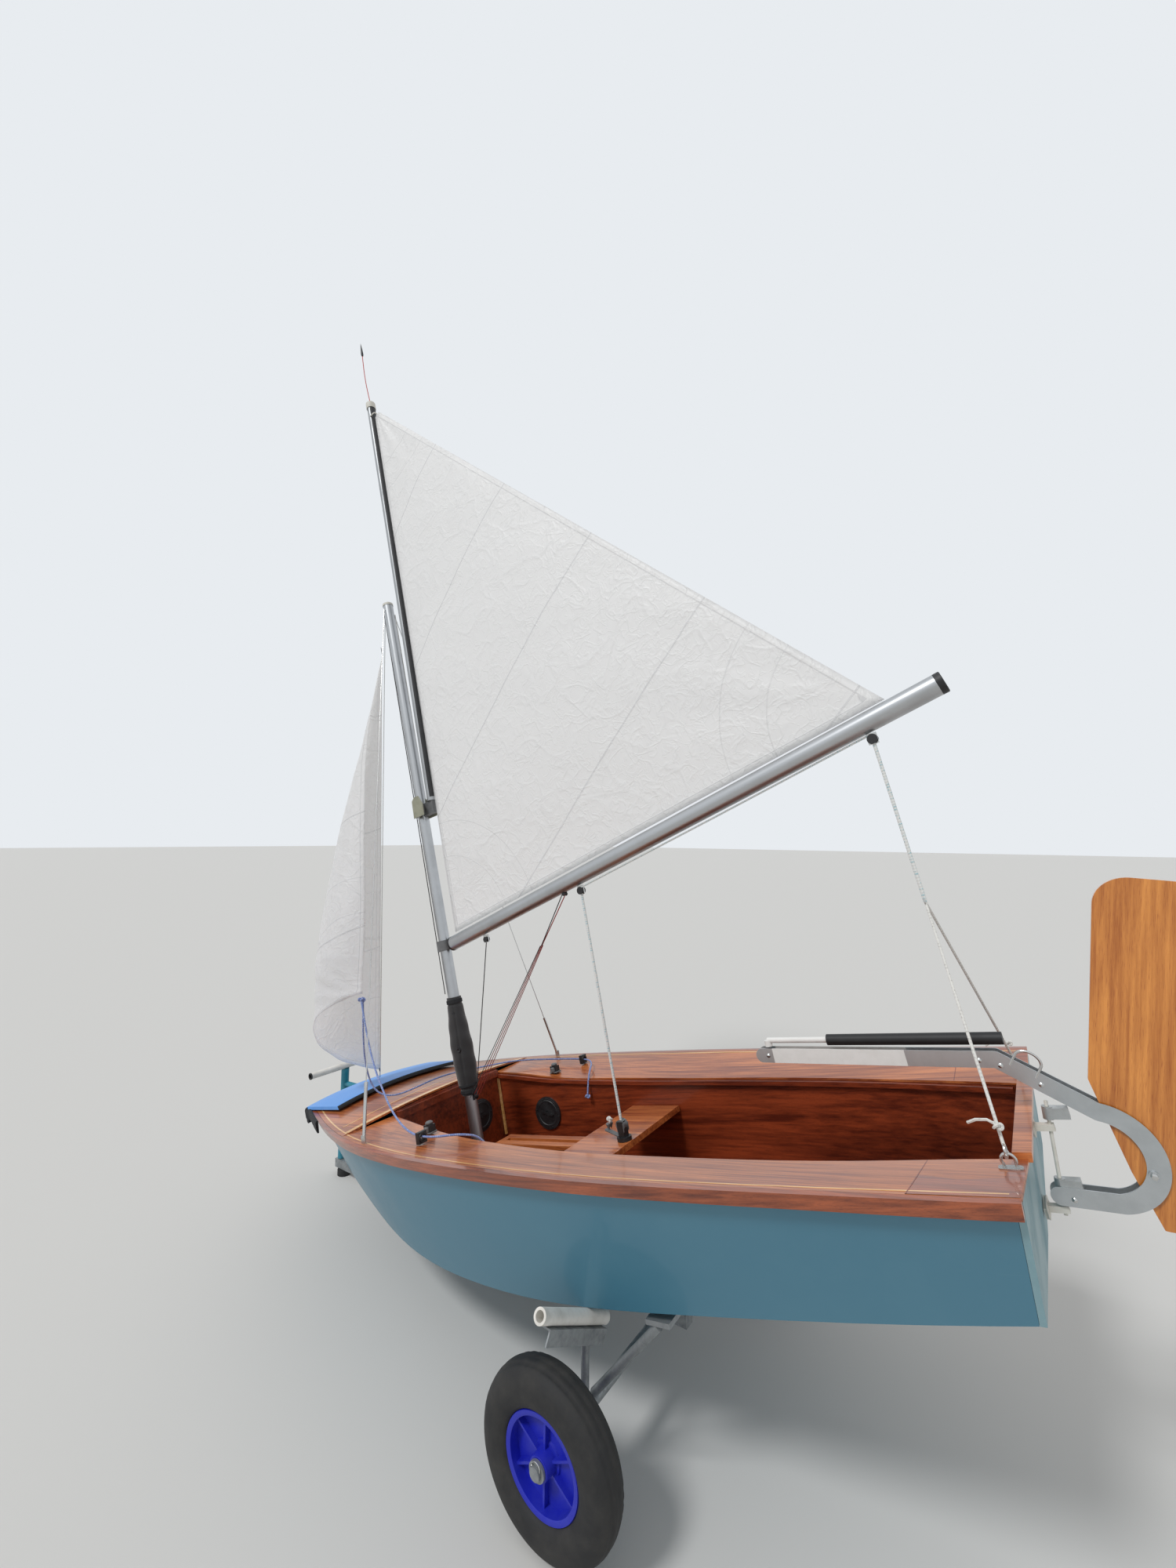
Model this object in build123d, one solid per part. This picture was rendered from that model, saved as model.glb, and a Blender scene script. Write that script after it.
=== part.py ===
from build123d import *
import math
import os

# Pram sailing dinghy with a gunter rig, parked nose down on its launching trolley.
# Row frame in mm: X to the bow, Y to port, Z up, origin on the floor midway between the wheels.
# The boat is modelled in a hull frame, x forward from the stern, z up from the stern deck,
# and then laid on the trolley with one turn and one shift.

# Where the hull lies
TRIM = 14.7             # bow-down angle, degrees
STERN_HEIGHT = 1060.0   # stern deck above the floor
AXLE_FROM_STERN = 957.0
HULL = Location((-AXLE_FROM_STERN, 0, STERN_HEIGHT), (0, TRIM, 0))

# Hull sections: columns x, gunwale half-breadth and height, chine half-breadth and height, keel height
SECTIONS = (
    (0, 487, 0, 418, -243, -288),
    (450, 540, 9, 446, -288, -345),
    (900, 581, 19, 464, -333, -402),
    (1350, 590, 32, 464, -360, -432),
    (1800, 566, 49, 426, -343, -418),
    (2150, 500, 66, 356, -276, -352),
    (2430, 402, 82, 284, -180, -248),
    (2640, 312, 95, 236, -86, -140),
)
STERN_RAKE = -0.15      # forward shift of the stern panel for each mm of height
BOW_RAKE = 0.34
SIDE_PLY = 7.0
BOTTOM_PLY = 8.0
DECK_PLY = 6.0
END_PLY = 12.0
SEAM = 0.6              # glue line between panels
STATIONS = (0, 300, 600, 900, 1200, 1500, 1800, 2110, 2320, 2490, 2640)

# Decks and cockpit: columns x, half-opening, height of the deck's inner edge
INNER_EDGE = (
    (0, 245, -30),
    (450, 315, -24),
    (900, 347, -18),
    (1350, 350, -8),
    (1800, 320, 20),
    (2110, 285, 60),
    (2640, 150, 92),
)
BULKHEAD_X = 2110.0
DECK_CROWN = 26.0       # rise of the foredeck at its middle
STRAKE_OUT = 20.0
STRAKE_HIGH = 34.0
CAP_LONG = 36.0         # fore-and-aft size of the strip over the stern board
CAP_HIGH = 19.0
BULKHEAD_PLY = 8.0
HATCH_D = 134.0
HATCH_BULKHEAD = (-150.0, -86.0)
HATCH_TANK_X = 1845.0
HATCH_TANK_Z = -130.0
KEEL_WIDE = 60.0
KEEL_DEEP = 18.0
KEEL_GAP = 3.0          # bedding between keel and bottom

# Thwart and daggerboard case
THWART_X = (1180.0, 1400.0)
THWART_TOP = -112.0
THWART_THICK = 20.0
CASE_X = (1420.0, 1790.0)
CASE_MID = 1600.0       # where the case's lower edge turns to follow the bottom
CASE_SLOT = 24.0
CASE_WALL = 9.0
CASE_TOP = -122.0
FRAME_WIDE = 92.0

# Mast, in the hull frame
MAST_X = 1975.0         # mast centre at deck height
MAST_LEAN = 2.5         # forward lean from the hull's upright
MAST_D = 50.0
MAST_TOP = 2462.0
SPAR_WALL = 2.2
TUBE_CAP = 4.0          # thickness of the closed ends
MAST_DIR = Vector(math.sin(math.radians(MAST_LEAN)), 0, math.cos(math.radians(MAST_LEAN)))

# Boom, yard and mainsail
BOOM_FROM = Vector(1957, 0, 676)
BOOM_TO = Vector(-152, 0, 1062)
BOOM_D = 62.0
YARD_FROM = Vector(1955, 0, 1345)
YARD_TO = Vector(1998, 0, 3708)
YARD_D = 44.0
COLLAR_D = 72.0
COLLAR_GAP = 0.6
EYE_X = (1735.0, 1188.0, 56.0)   # sheet and vang eyes under the boom
SAIL_THICK = 3.0
LUFF_Z = (724.0, 3600.0)
SAIL_BELLY = ((0.0, 4), (0.17, 26), (0.35, 34), (0.65, 24), (1.0, 3))   # share of the luff, depth
SAIL_CHORDS = 4
CLEW = Vector(-5, 0, 1072)

# Jib, forestay and shrouds
JIB_TACK = Vector(2602, 0, 160)
JIB_HEAD = Vector(2177, 0, 2215)
CHAIN_X = 1930.0
STAY_D = 4.0
# Padded mast cover: height, diameter
COVER = ((50, 62), (110, 84), (200, 92), (260, 91), (340, 79), (400, 68), (450, 62))
COVER_FLATS = 20
# Jib from foot to head: share of the hoist, then luff, deepest point and leech, each x, y, z
JIB_ROWS = (
    (0.00, 2598, 4, 172, 2515, 362, 430, 2175, 325, 546),
    (0.37, 2442, 4, 925, 2420, 330, 882, 2168, 268, 933),
    (0.55, 2368, 4, 1282, 2365, 242, 1268, 2206, 200, 1302),
    (0.77, 2274, 4, 1740, 2290, 100, 1748, 2240, 104, 1762),
    (1.00, 2180, 4, 2200, 2172, 10, 2201, 2158, 14, 2204),
)
JIB_BANDS = 9
JIB_CHORDS = 12         # flats along each row of the sail
FAIRLEAD = (1712.0, 460.0)
CAM = (1800.0, 356.0)
# Slack jib sheets: clew, over the deck, fairlead, and down inside the cockpit
SHEET_D = 7.0
SHEET_FLATS = 10
SHEET_PORT = (
    (2175, 334, 530), (2160, 338, 431), (2136, 344, 334), (2089, 359, 247), (2017, 383, 182),
    (1937, 413, 127), (1850, 440, 86), (1756, 462, 60), (1664, 460, 52), (1584, 400, 44),
    (1551, 332, 12), (1540, 306, -56),
)
SHEET_STARBOARD = (
    (2178, 322, 526), (2218, 308, 438), (2255, 293, 349), (2284, 276, 258), (2295, 253, 172),
    (2271, 229, 122), (2232, 182, 103), (2215, 94, 107), (2210, -3, 114), (2199, -100, 111),
    (2173, -193, 101), (2128, -279, 93), (2064, -353, 87), (1982, -404, 77), (1890, -435, 66),
    (1795, -455, 58), (1688, -461, 51), (1632, -422, 45), (1598, -355, 31), (1590, -318, -9),
    (1598, -309, -62),
)
HOUNDS = 2430.0         # height where the stays meet the mast

# Rudder
PINTLE_X = -55.0
PINTLE_LEAN = -0.15
PLATE_TALL = 40.0
PLATE_THICK = 3.0
PLATE_GAP = 26.0        # clear space between the two stock plates
BLADE_THICK = 16.0
BLADE_AT = Vector(-198, 0, -139)
BLADE_TILT = 18.5       # raised blade, aft of upright
PIVOT = Vector(-207, 0, -143)
HOOK_CENTRE = Vector(-125, 0, -108)
HOOK_RADIUS = 97.0
HOOK_ANGLES = (104, 184, 264)
TILLER_FRONT = Vector(619, 0, 144)
SHOULDER = Vector(17, 0, 106)
HOOK_TOE = Vector(-23, 0, -196)
LUG_Z = (-20.0, -176.0)         # sleeves on the stock
GUDGEON_Z = (-52.0, -228.0)     # brackets on the stern
BOLTS = ((600, 143), (240, 120), (-38, 64), (-140, -13), (-47, -202))
BLADE_LONG = 640.0
BLADE_FORE = 104.0
BLADE_REAR = 125.0

# Trolley, in the row frame
WHEEL_D = 406.0
# Half of the tyre's section: radius, half-width
TYRE_SECTION = ((112, 34), (140, 50), (172, 50), (203, 22))
WHEEL_Y = 620.0
AXLE_D = 30.0
AXLE_Z = WHEEL_D / 2
POST_Y = 478.0
CRADLE_D = 36.0         # lagged tube that carries the bilge
CRADLE_ANGLE = 30.5
CRADLE_END = Vector(0, 665, 543.5)
CRADLE_LONG = 320.0
BAR_SIZE = 40.0
BAR_WALL = 3.0
BAR_BACK = Vector(-60, 0, 171)
BAR_FRONT = Vector(1918, 0, 45)
HANDLE_X = 1893.0
RIM_R = 111.6
RIBS = 6
BOW_CHOCK_X = 1450.0    # along the drawbar from its back end
HANDLE_HALF = 190.0
HANDLE_Z = 520.0

OUT = "parts"
os.makedirs(OUT, exist_ok=True)


def save(name, *shapes, in_hull=True):
    """Write one node; pieces of the boat are laid on the trolley first."""
    placed = [HULL * s if in_hull else s for s in shapes]
    solids = [solid for s in placed for solid in s.solids()]
    node = solids[0] if len(solids) == 1 else Compound(children=solids)
    export_step(node, f"{OUT}/{name}.step")
    print(f"{name}: {len(solids)} solid(s), {sum(s.volume for s in solids) / 1e3:.0f} cm3")


def rod(start, end, diameter):
    """Round bar between two points."""
    start, end = Vector(start), Vector(end)
    along = end - start
    return Solid.make_cylinder(diameter / 2, along.length, Plane(origin=start, z_dir=along))


def tube(start, end, diameter, wall):
    """Hollow bar with closed ends."""
    start, end = Vector(start), Vector(end)
    cap = (end - start).normalized() * TUBE_CAP
    return rod(start, end, diameter) - rod(start + cap, end - cap, diameter - 2 * wall)


def block(x0, x1, y0, y1, z0, z1):
    """Plain box between two corners."""
    return Pos((x0 + x1) / 2, (y0 + y1) / 2, (z0 + z1) / 2) * Box(x1 - x0, y1 - y0, z1 - z0)


def prism(points, reach):
    """Flat outline pushed along a vector."""
    return Solid.extrude(Face(Wire.make_polygon([Vector(*p) for p in points], close=True)), Vector(*reach))


def quads(rows):
    """Smooth panel through four-cornered sections."""
    return Solid.make_loft([Wire.make_polygon([Vector(*p) for p in row], close=True) for row in rows])


def cord(name, points, diameter):
    """Plain line: straight runs joined by arcs as large as the two runs allow."""
    route = [Vector(*p) for p in points]
    runs = [b - a for a, b in zip(route, route[1:])]
    radii = []
    for before, after in zip(runs, runs[1:]):
        half_turn = math.radians(before.get_angle(after)) / 2
        radii.append(0.45 * min(before.length, after.length) / math.tan(half_turn))
    path = FilletPolyline(*route, radius=radii)
    start = Plane(origin=path @ 0, z_dir=path % 0)
    ring = (start * RegularPolygon(diameter / 2, SHEET_FLATS)).face()
    line = Solid.sweep(ring, path)
    share = line.volume / (ring.area * path.length)
    print(f"{name}: {path.length:.0f} mm long, smallest radius {min(radii):.0f}, volume share {share:.3f}")
    return line


def at(table, x, column):
    """A table's column at x, on a smooth curve through its rows."""
    k = max(0, min(len(table) - 2, sum(1 for row in table if row[0] <= x) - 1))

    def slope(i):
        a, b = table[max(0, i - 1)], table[min(len(table) - 1, i + 1)]
        return (b[column] - a[column]) / (b[0] - a[0])

    span = table[k + 1][0] - table[k][0]
    t = (x - table[k][0]) / span
    start, end = table[k][column], table[k + 1][column]
    return (start + (end - start) * t * t * (3 - 2 * t) + t * (1 - t) ** 2 * span * slope(k)
            - t * t * (1 - t) * span * slope(k + 1))


def lean(x, z):
    """Forward shift of a point in the raked end sections."""
    if x == STATIONS[0]:
        return x + STERN_RAKE * z
    if x == STATIONS[-1]:
        return x + BOW_RAKE * (z - SECTIONS[-1][2])
    return x


def section_rows(side, corners, back=0.0):
    """One closed row per station, from a function of the section's measures."""
    rows = []
    for x in STATIONS:
        measures = [at(SECTIONS, x, column) for column in range(1, 6)]
        shift = back if x == STATIONS[0] else 0
        rows.append([(lean(x, z) - shift, side * y, z) for y, z in corners(*measures)])
    return rows


def side_corners(yg, zg, yc, zc, zk):
    drop = DECK_PLY + 1.6
    top = yg - (yg - yc) / (zg - zc) * drop
    return [(top, zg - drop), (yc, zc), (yc - SIDE_PLY, zc), (top - SIDE_PLY, zg - drop)]


def bottom_corners(yg, zg, yc, zc, zk):
    rise = (zc - zk) / yc
    outer, inner = yc - SIDE_PLY - SEAM, CASE_SLOT / 2 + SEAM
    low, high = zk + rise * inner, zk + rise * outer
    return [(outer, high), (inner, low), (inner, low + BOTTOM_PLY), (outer, high + BOTTOM_PLY)]


def strake_corners(yg, zg, yc, zc, zk):
    low = zg - STRAKE_HIGH
    inner = yg + SEAM
    step = (yg - yc) / (zg - zc) * STRAKE_HIGH
    return [(inner, zg), (yg + STRAKE_OUT, zg), (yg + STRAKE_OUT - step, low), (inner - step, low)]


def keel_corners(yg, zg, yc, zc, zk):
    """Keel under the bottom's V, with a tongue up between the two bottom panels."""
    half, tongue = KEEL_WIDE / 2, CASE_SLOT / 2
    rise = (zc - zk) / yc
    low, edge = zk - KEEL_DEEP, zk + rise * half - KEEL_GAP
    root, crest = zk + rise * tongue - KEEL_GAP, zk + rise * tongue + BOTTOM_PLY
    port = [(half, low), (half, edge), (tongue, root), (tongue, crest)]
    return port + [(-y, z) for y, z in reversed(port)]


def hull_panels():
    for name, side in (("port", 1), ("starboard", -1)):
        save(f"hull_side_{name}", quads(section_rows(side, side_corners)))
        save(f"hull_bottom_{name}", quads(section_rows(side, bottom_corners)))
        save(f"rubbing_strake_{name}", quads(section_rows(side, strake_corners, END_PLY)))
    whole = quads(section_rows(1, keel_corners))
    half, slot = KEEL_WIDE, CASE_SLOT / 2
    ends = [whole & block(start, end, -half, half, -600, 0)
            for start, end in ((-300, CASE_X[0]), (CASE_X[1], 3000))]
    rails = [whole & block(CASE_X[0] + SEAM, CASE_X[1] - SEAM, *sorted((side * slot, side * half)), -600, 0)
             for side in (1, -1)]
    save("keel", *ends, *rails)


def end_panels():
    """Stern and bow boards on their raked planes."""
    x, yg, zg, yc, zc, zk = SECTIONS[0]
    half, dip = INNER_EDGE[0][1:]
    low = DECK_PLY + 1.6
    side = yg - (yg - yc) / (zg - zc) * low - 0.5
    port = [(half, dip - low), (side, zg - low), (yc, zc)]
    outline = port + [(0, zk)] + [(-y, z) for y, z in reversed(port)]
    save("stern_transom", prism([(x + STERN_RAKE * z - SEAM, y, z) for y, z in outline], (-END_PLY, 0, 0)))
    wide = half - 1
    base = dip - DECK_PLY
    cap = [(-wide, base), (wide, base), (wide, base + CAP_HIGH), (-wide, base + CAP_HIGH)]
    front = (CAP_LONG - END_PLY) / 2
    save("stern_cap", prism([(front + STERN_RAKE * z, y, z) for y, z in cap], (-CAP_LONG, 0, 0)))
    x, yg, zg, yc, zc, zk = SECTIONS[-1]
    corners = [(x + BOW_RAKE * (z - zg) + SEAM, y, z)
               for y, z in ((-yg, zg - low), (-yc, zc), (0, zk), (yc, zc), (yg, zg - low))]
    crown = zg - low + deck_crown(x)
    middle = Vector(x + BOW_RAKE * (crown - zg) + SEAM, 0, crown)
    top = Edge.make_three_point_arc(Vector(*corners[-1]), middle, Vector(*corners[0]))
    lower = Wire.make_polygon([Vector(*p) for p in corners], close=False)
    save("bow_transom", Solid.extrude(Face(Wire([top] + list(lower.edges()))), Vector(END_PLY, 0, 0)))


def flare(x, drop):
    """How far the topside draws in over a drop below the gunwale."""
    yg, zg, yc, zc = (at(SECTIONS, x, c) for c in (1, 2, 3, 4))
    return (yg - yc) / (zg - zc) * drop


def deck_crown(x):
    """Rise of the foredeck's middle above the gunwale."""
    return DECK_CROWN * at(SECTIONS, x, 1) / at(SECTIONS, BULKHEAD_X, 1)


def crown_section(x, end):
    """Closed section of the cambered foredeck, set at a place along the hull."""
    half, z, crown = at(SECTIONS, x, 1), at(SECTIONS, x, 2), deck_crown(x)
    half -= 0.5
    low = half - flare(x, DECK_PLY)
    base = z - DECK_PLY
    top = Edge.make_three_point_arc(Vector(end, -half, z), Vector(end, 0, z + crown), Vector(end, half, z))
    under = Edge.make_three_point_arc(Vector(end, low, base), Vector(end, 0, base + crown),
                                      Vector(end, -low, base))
    return Wire([top, Edge.make_line(top @ 1, under @ 0), under, Edge.make_line(under @ 1, top @ 0)])


def deck_surface():
    ahead = block(BULKHEAD_X, 2800, -800, 800, -600, 300)
    for name, side in (("port", 1), ("starboard", -1)):
        rows = []
        for x in STATIONS:
            yi, zi = (at(INNER_EDGE, x, c) for c in (1, 2))
            yg, zg = (at(SECTIONS, x, c) for c in (1, 2))
            end = x - END_PLY if x == 0 else x
            under = yg - flare(x, DECK_PLY)
            rows.append([(end, side * yg, zg), (end, side * yi, zi),
                         (end, side * yi, zi - DECK_PLY), (end, side * under, zg - DECK_PLY)])
        save(f"side_deck_{name}", quads(rows) - ahead)
        rows = []
        for x in STATIONS:
            yi, zi = (at(INNER_EDGE, x, c) for c in (1, 2))
            low = floor_height(x, yi + SIDE_PLY) + 2
            rows.append([(lean(x, z) + (1 if x == 0 else 0), side * y, z)
                         for y, z in ((yi, zi - DECK_PLY - SEAM), (yi, low), (yi + SIDE_PLY, low),
                                      (yi + SIDE_PLY, zi - DECK_PLY - SEAM))])
        save(f"tank_wall_{name}", quads(rows) - ahead)
    sections = []
    for x in STATIONS:
        end = x - END_PLY if x == 0 else x
        sections.append(crown_section(x, end))
    save("foredeck", Solid.make_loft(sections) - block(-100, BULKHEAD_X + SEAM, -800, 800, -100, 300))


def floor_height(x, y):
    """Inner face of the bottom at a place."""
    yc, zc, zk = (at(SECTIONS, x, c) for c in (3, 4, 5))
    return zk + (zc - zk) * y / yc + BOTTOM_PLY


def inside():
    """Bulkhead with its mast beam, thwart and daggerboard case."""
    half = at(INNER_EDGE, BULKHEAD_X, 1) - 2
    yg, zg = (at(SECTIONS, BULKHEAD_X, c) for c in (1, 2))
    x = BULKHEAD_X - BULKHEAD_PLY
    crown = deck_crown(BULKHEAD_X)
    side_z = zg - DECK_PLY + crown * (1 - (half / yg) ** 2) - 3
    top = Edge.make_three_point_arc(Vector(x, half, side_z), Vector(x, 0, zg + crown - DECK_PLY - 3),
                                    Vector(x, -half, side_z))
    low_side = floor_height(BULKHEAD_X, half) + 2
    lower = Wire.make_polygon([Vector(x, -half, side_z), Vector(x, -half, low_side),
                               Vector(x, 0, floor_height(x, CASE_SLOT) + 2), Vector(x, half, low_side),
                               Vector(x, half, side_z)], close=False)
    board = Solid.extrude(Face(Wire([top] + list(lower.edges()))), Vector(BULKHEAD_PLY - SEAM, 0, 0))
    port = rod((x - 1, *HATCH_BULKHEAD), (x + BULKHEAD_PLY + 1, *HATCH_BULKHEAD), HATCH_D - 30)
    beam = block(x - 16, x - 0.3, -half + 6, half - 6, side_z - 30, side_z - 2)
    save("bulkhead", board - port, beam)
    half = min(at(INNER_EDGE, x, 1) for x in THWART_X) - 3
    save("thwart", block(*THWART_X, -half, half, THWART_TOP - THWART_THICK, THWART_TOP))
    slot = CASE_SLOT / 2
    pieces = [block(CASE_X[0] - 18, CASE_X[0], -slot + SEAM, slot - SEAM, CASE_TOP - 14, CASE_TOP),
              block(CASE_X[1], CASE_X[1] + 30, -slot + SEAM, slot - SEAM, CASE_TOP - 14, CASE_TOP)]
    for side in (1, -1):
        rail = sorted((side * slot, side * FRAME_WIDE / 2))
        pieces.append(block(CASE_X[0] - 18, CASE_X[1] + 30, *rail, CASE_TOP - 14, CASE_TOP))
        top_z = CASE_TOP - 14.2
        rise = floor_height(CASE_X[0], CASE_SLOT / 2 + CASE_WALL) - floor_height(CASE_X[0], 0) + 2.2
        spans = ((CASE_X[0], CASE_MID), (CASE_MID, CASE_X[1]))
        low = [max(floor_height(x, 0) for x in span) + rise for span in spans]
        points = [(CASE_X[0], low[0]), (CASE_MID, low[0]), (CASE_X[1], low[1]),
                  (CASE_X[1], top_z), (CASE_X[0], top_z)]
        pieces.append(prism([(x, side * CASE_SLOT / 2, z) for x, z in points], (0, side * CASE_WALL, 0)))
    half = CASE_SLOT / 2 + CASE_WALL
    for x in (CASE_X[0] - 14, CASE_X[1]):
        foot = max(floor_height(x, half), floor_height(x + 14, half)) + 1.5
        pieces.append(block(x + 0.2, x + 13.8, -half, half, foot, CASE_TOP - 14.2))
    save("daggerboard_case", *pieces)


def mast_at(z):
    """Point on the mast's centre line at a height."""
    return Vector(MAST_X + math.tan(math.radians(MAST_LEAN)) * z, 0, z)


def standing_rig():
    foot_x = mast_at(-360).X
    step_z = max(floor_height(foot_x + dx, 45) for dx in (-70, 70)) + 1.5
    foot = step_z + 8
    save("mast", tube(mast_at(foot), mast_at(MAST_TOP), MAST_D, SPAR_WALL))
    step = block(foot_x - 70, foot_x + 70, -45, 45, step_z, step_z + 30)
    save("mast_step", step - rod(mast_at(foot - 1), mast_at(foot + 60), MAST_D + 1))
    rings = []
    for z, d in COVER:
        ring = Plane(origin=mast_at(z), z_dir=MAST_DIR) * RegularPolygon(d / 2, COVER_FLATS)
        rings.append(ring.face().outer_wire())
    cover = Solid.make_loft(rings, ruled=True)
    save("mast_cover", cover - rod(mast_at(COVER[0][0] - 30), mast_at(COVER[-1][0] + 30), MAST_D + 0.6))
    wires, plates = [], []
    edge_z = at(SECTIONS, CHAIN_X, 2)
    chain_y = at(SECTIONS, CHAIN_X, 1) - 10
    for side in (1, -1):
        low = Vector(CHAIN_X, side * chain_y, edge_z + 6)
        top = mast_at(HOUNDS) + Vector(0, side * (MAST_D / 2 + STAY_D / 2 + 0.2), 0)
        along = (top - low).normalized()
        wires.append(rod(low + along * 191, top, STAY_D))
        plate = Pos(CHAIN_X, side * chain_y, edge_z + 13.5) * Box(24, 4, 25)
        plates.append(rod(low + along * 12, low + along * 190, 12) + plate)
    save("shrouds", *wires)
    save("chainplates", *plates)
    top = mast_at(MAST_TOP - 20) + Vector(MAST_D / 2 + STAY_D / 2 + 0.5, 0, 0)
    along = (top - JIB_TACK).normalized()
    save("forestay", rod(JIB_TACK - along * 26, top, STAY_D))
    save("jib", jib())


def arc_centre(a, b, c):
    """Centre of the circle through three points."""
    u, v = b - a, c - a
    normal = u.cross(v)
    return a + (normal.cross(u) * v.dot(v) + v.cross(normal) * u.dot(u)) / (2 * normal.dot(normal))


def strip(inner, outer, chords):
    """Closed section of flats between an arc and the arc that runs back beside it."""
    steps = [k / chords for k in range(chords + 1)]
    return Wire.make_polygon([inner @ k for k in steps] + [outer @ k for k in steps], close=True)


def jib():
    """Jib blown out to port and hung on its stay, one curved row per height."""
    sections = []
    for index in range(JIB_BANDS + 1):
        row = [at(JIB_ROWS, index / JIB_BANDS, column) for column in range(1, 10)]
        points = [Vector(*row[k:k + 3]) for k in (0, 3, 6)]
        centre = arc_centre(*points)
        grow = 1 + SAIL_THICK / (points[0] - centre).length
        inner = Edge.make_three_point_arc(*points)
        outer = Edge.make_three_point_arc(*[centre + (p - centre) * grow for p in reversed(points)])
        sections.append(strip(inner, outer, JIB_CHORDS))
    return Solid.make_loft(sections, ruled=True)


def mast_bore(z, reach):
    """Hole for the mast through a collar."""
    return rod(mast_at(z - reach), mast_at(z + reach), MAST_D + 2 * COLLAR_GAP)


def collar(z, high):
    """Ring round the mast, before its bore is cut."""
    return rod(mast_at(z) - MAST_DIR * (high / 2), mast_at(z) + MAST_DIR * (high / 2), COLLAR_D)


def running_rig():
    """Boom, yard and mainsail, which swing together about the mast."""
    along = (BOOM_TO - BOOM_FROM).normalized()
    save("boom", tube(BOOM_FROM + along * 14, BOOM_TO, BOOM_D, SPAR_WALL))
    neck = rod(BOOM_FROM - along * 24, BOOM_FROM + along * 13.5, 30)
    save("gooseneck", (collar(BOOM_FROM.Z, 44) + neck) - mast_bore(BOOM_FROM.Z, 60))
    save("yard", tube(YARD_FROM, YARD_TO, YARD_D, SPAR_WALL))
    tongue = block(YARD_FROM.X - 18, YARD_FROM.X + 60, -14, 14, YARD_FROM.Z - 60, YARD_FROM.Z - 1)
    save("yard_heel", (collar(YARD_FROM.Z - 30, 46) + tongue) - mast_bore(YARD_FROM.Z - 30, 60))
    save("mainsail", mainsail())
    up = (YARD_TO - YARD_FROM).normalized()
    tip = YARD_TO + up * 0.4
    arm = tip + Vector(12, 0, 380)
    cap = rod(tip, tip + up * 26, 36)
    save("wind_vane", cap + rod(tip + up * 2, arm, 5) + rod(arm, arm + Vector(1, 0, 85), 14))
    eyes = []
    for x in EYE_X:
        part = (BOOM_FROM.X - x) / (BOOM_FROM.X - BOOM_TO.X)
        under = BOOM_FROM + (BOOM_TO - BOOM_FROM) * part - Vector(0, 0, BOOM_D / 2 + 3)
        plate = Pos(under - Vector(0, 0, 16)) * Box(28, 6, 32)
        hole = under - Vector(0, 0, 20)
        eyes.append(plate - rod(hole - Vector(0, 9, 0), hole + Vector(0, 9, 0), 15))
    save("boom_eyes", *eyes)


def mainsail():
    """Triangle between yard, boom and leech, with a little belly to port."""
    head = Vector(YARD_TO.X - YARD_D / 2 - 42, 0, LUFF_Z[1] + 12)
    rake = (YARD_TO.X - YARD_FROM.X) / (YARD_TO.Z - YARD_FROM.Z)
    sections = []
    for part, belly in SAIL_BELLY:
        z = LUFF_Z[0] + (LUFF_Z[1] - LUFF_Z[0]) * part
        luff = Vector(YARD_FROM.X + rake * (z - YARD_FROM.Z) - YARD_D / 2 - 1.5, 0, z)
        leech = CLEW + (head - CLEW) * part
        mid = (luff + leech) * 0.5 + Vector(0, belly, 0)
        side = Vector(0, SAIL_THICK, 0)
        inner = Edge.make_three_point_arc(luff, mid, leech)
        outer = Edge.make_three_point_arc(leech + side, mid + side, luff + side)
        sections.append(strip(inner, outer, SAIL_CHORDS))
    return Solid.make_loft(sections, ruled=True)


def pintle_at(z):
    return Vector(PINTLE_X + PINTLE_LEAN * z, 0, z)


def stock_plate(side):
    """One hooked plate: tiller, shoulder, round end and lower arm, joined band by band."""
    half = PLATE_TALL / 2
    start = side * PLATE_GAP / 2
    reach = (0, side * PLATE_THICK, 0)

    def on_hook(radius, angle):
        turn = math.radians(angle)
        return HOOK_CENTRE + Vector(radius * math.cos(turn), start, radius * math.sin(turn))

    outer = Edge.make_three_point_arc(*[on_hook(HOOK_RADIUS + half, a) for a in HOOK_ANGLES])
    inner = Edge.make_three_point_arc(*[on_hook(HOOK_RADIUS - half, a) for a in reversed(HOOK_ANGLES)])
    ends = [Edge.make_line(outer @ 1, inner @ 0), Edge.make_line(inner @ 1, outer @ 0)]
    plate = Solid.extrude(Face(Wire([outer, ends[0], inner, ends[1]])), Vector(*reach))
    tail = on_hook(HOOK_RADIUS, HOOK_ANGLES[-1])
    runs = ((TILLER_FRONT, SHOULDER), (SHOULDER, on_hook(HOOK_RADIUS, HOOK_ANGLES[0])), (tail, HOOK_TOE))
    for a, b in runs:
        a, b = Vector(a.X, start, a.Z), Vector(b.X, start, b.Z)
        along = (b - a).normalized()
        across = Vector(-along.Z, 0, along.X) * half
        plate += prism([tuple(p) for p in (a + across, b + across, b - across, a - across)], reach)
        for end in (a, b):
            plate += Solid.make_cylinder(half, PLATE_THICK, Plane(origin=end, z_dir=reach))
    return plate


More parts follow.
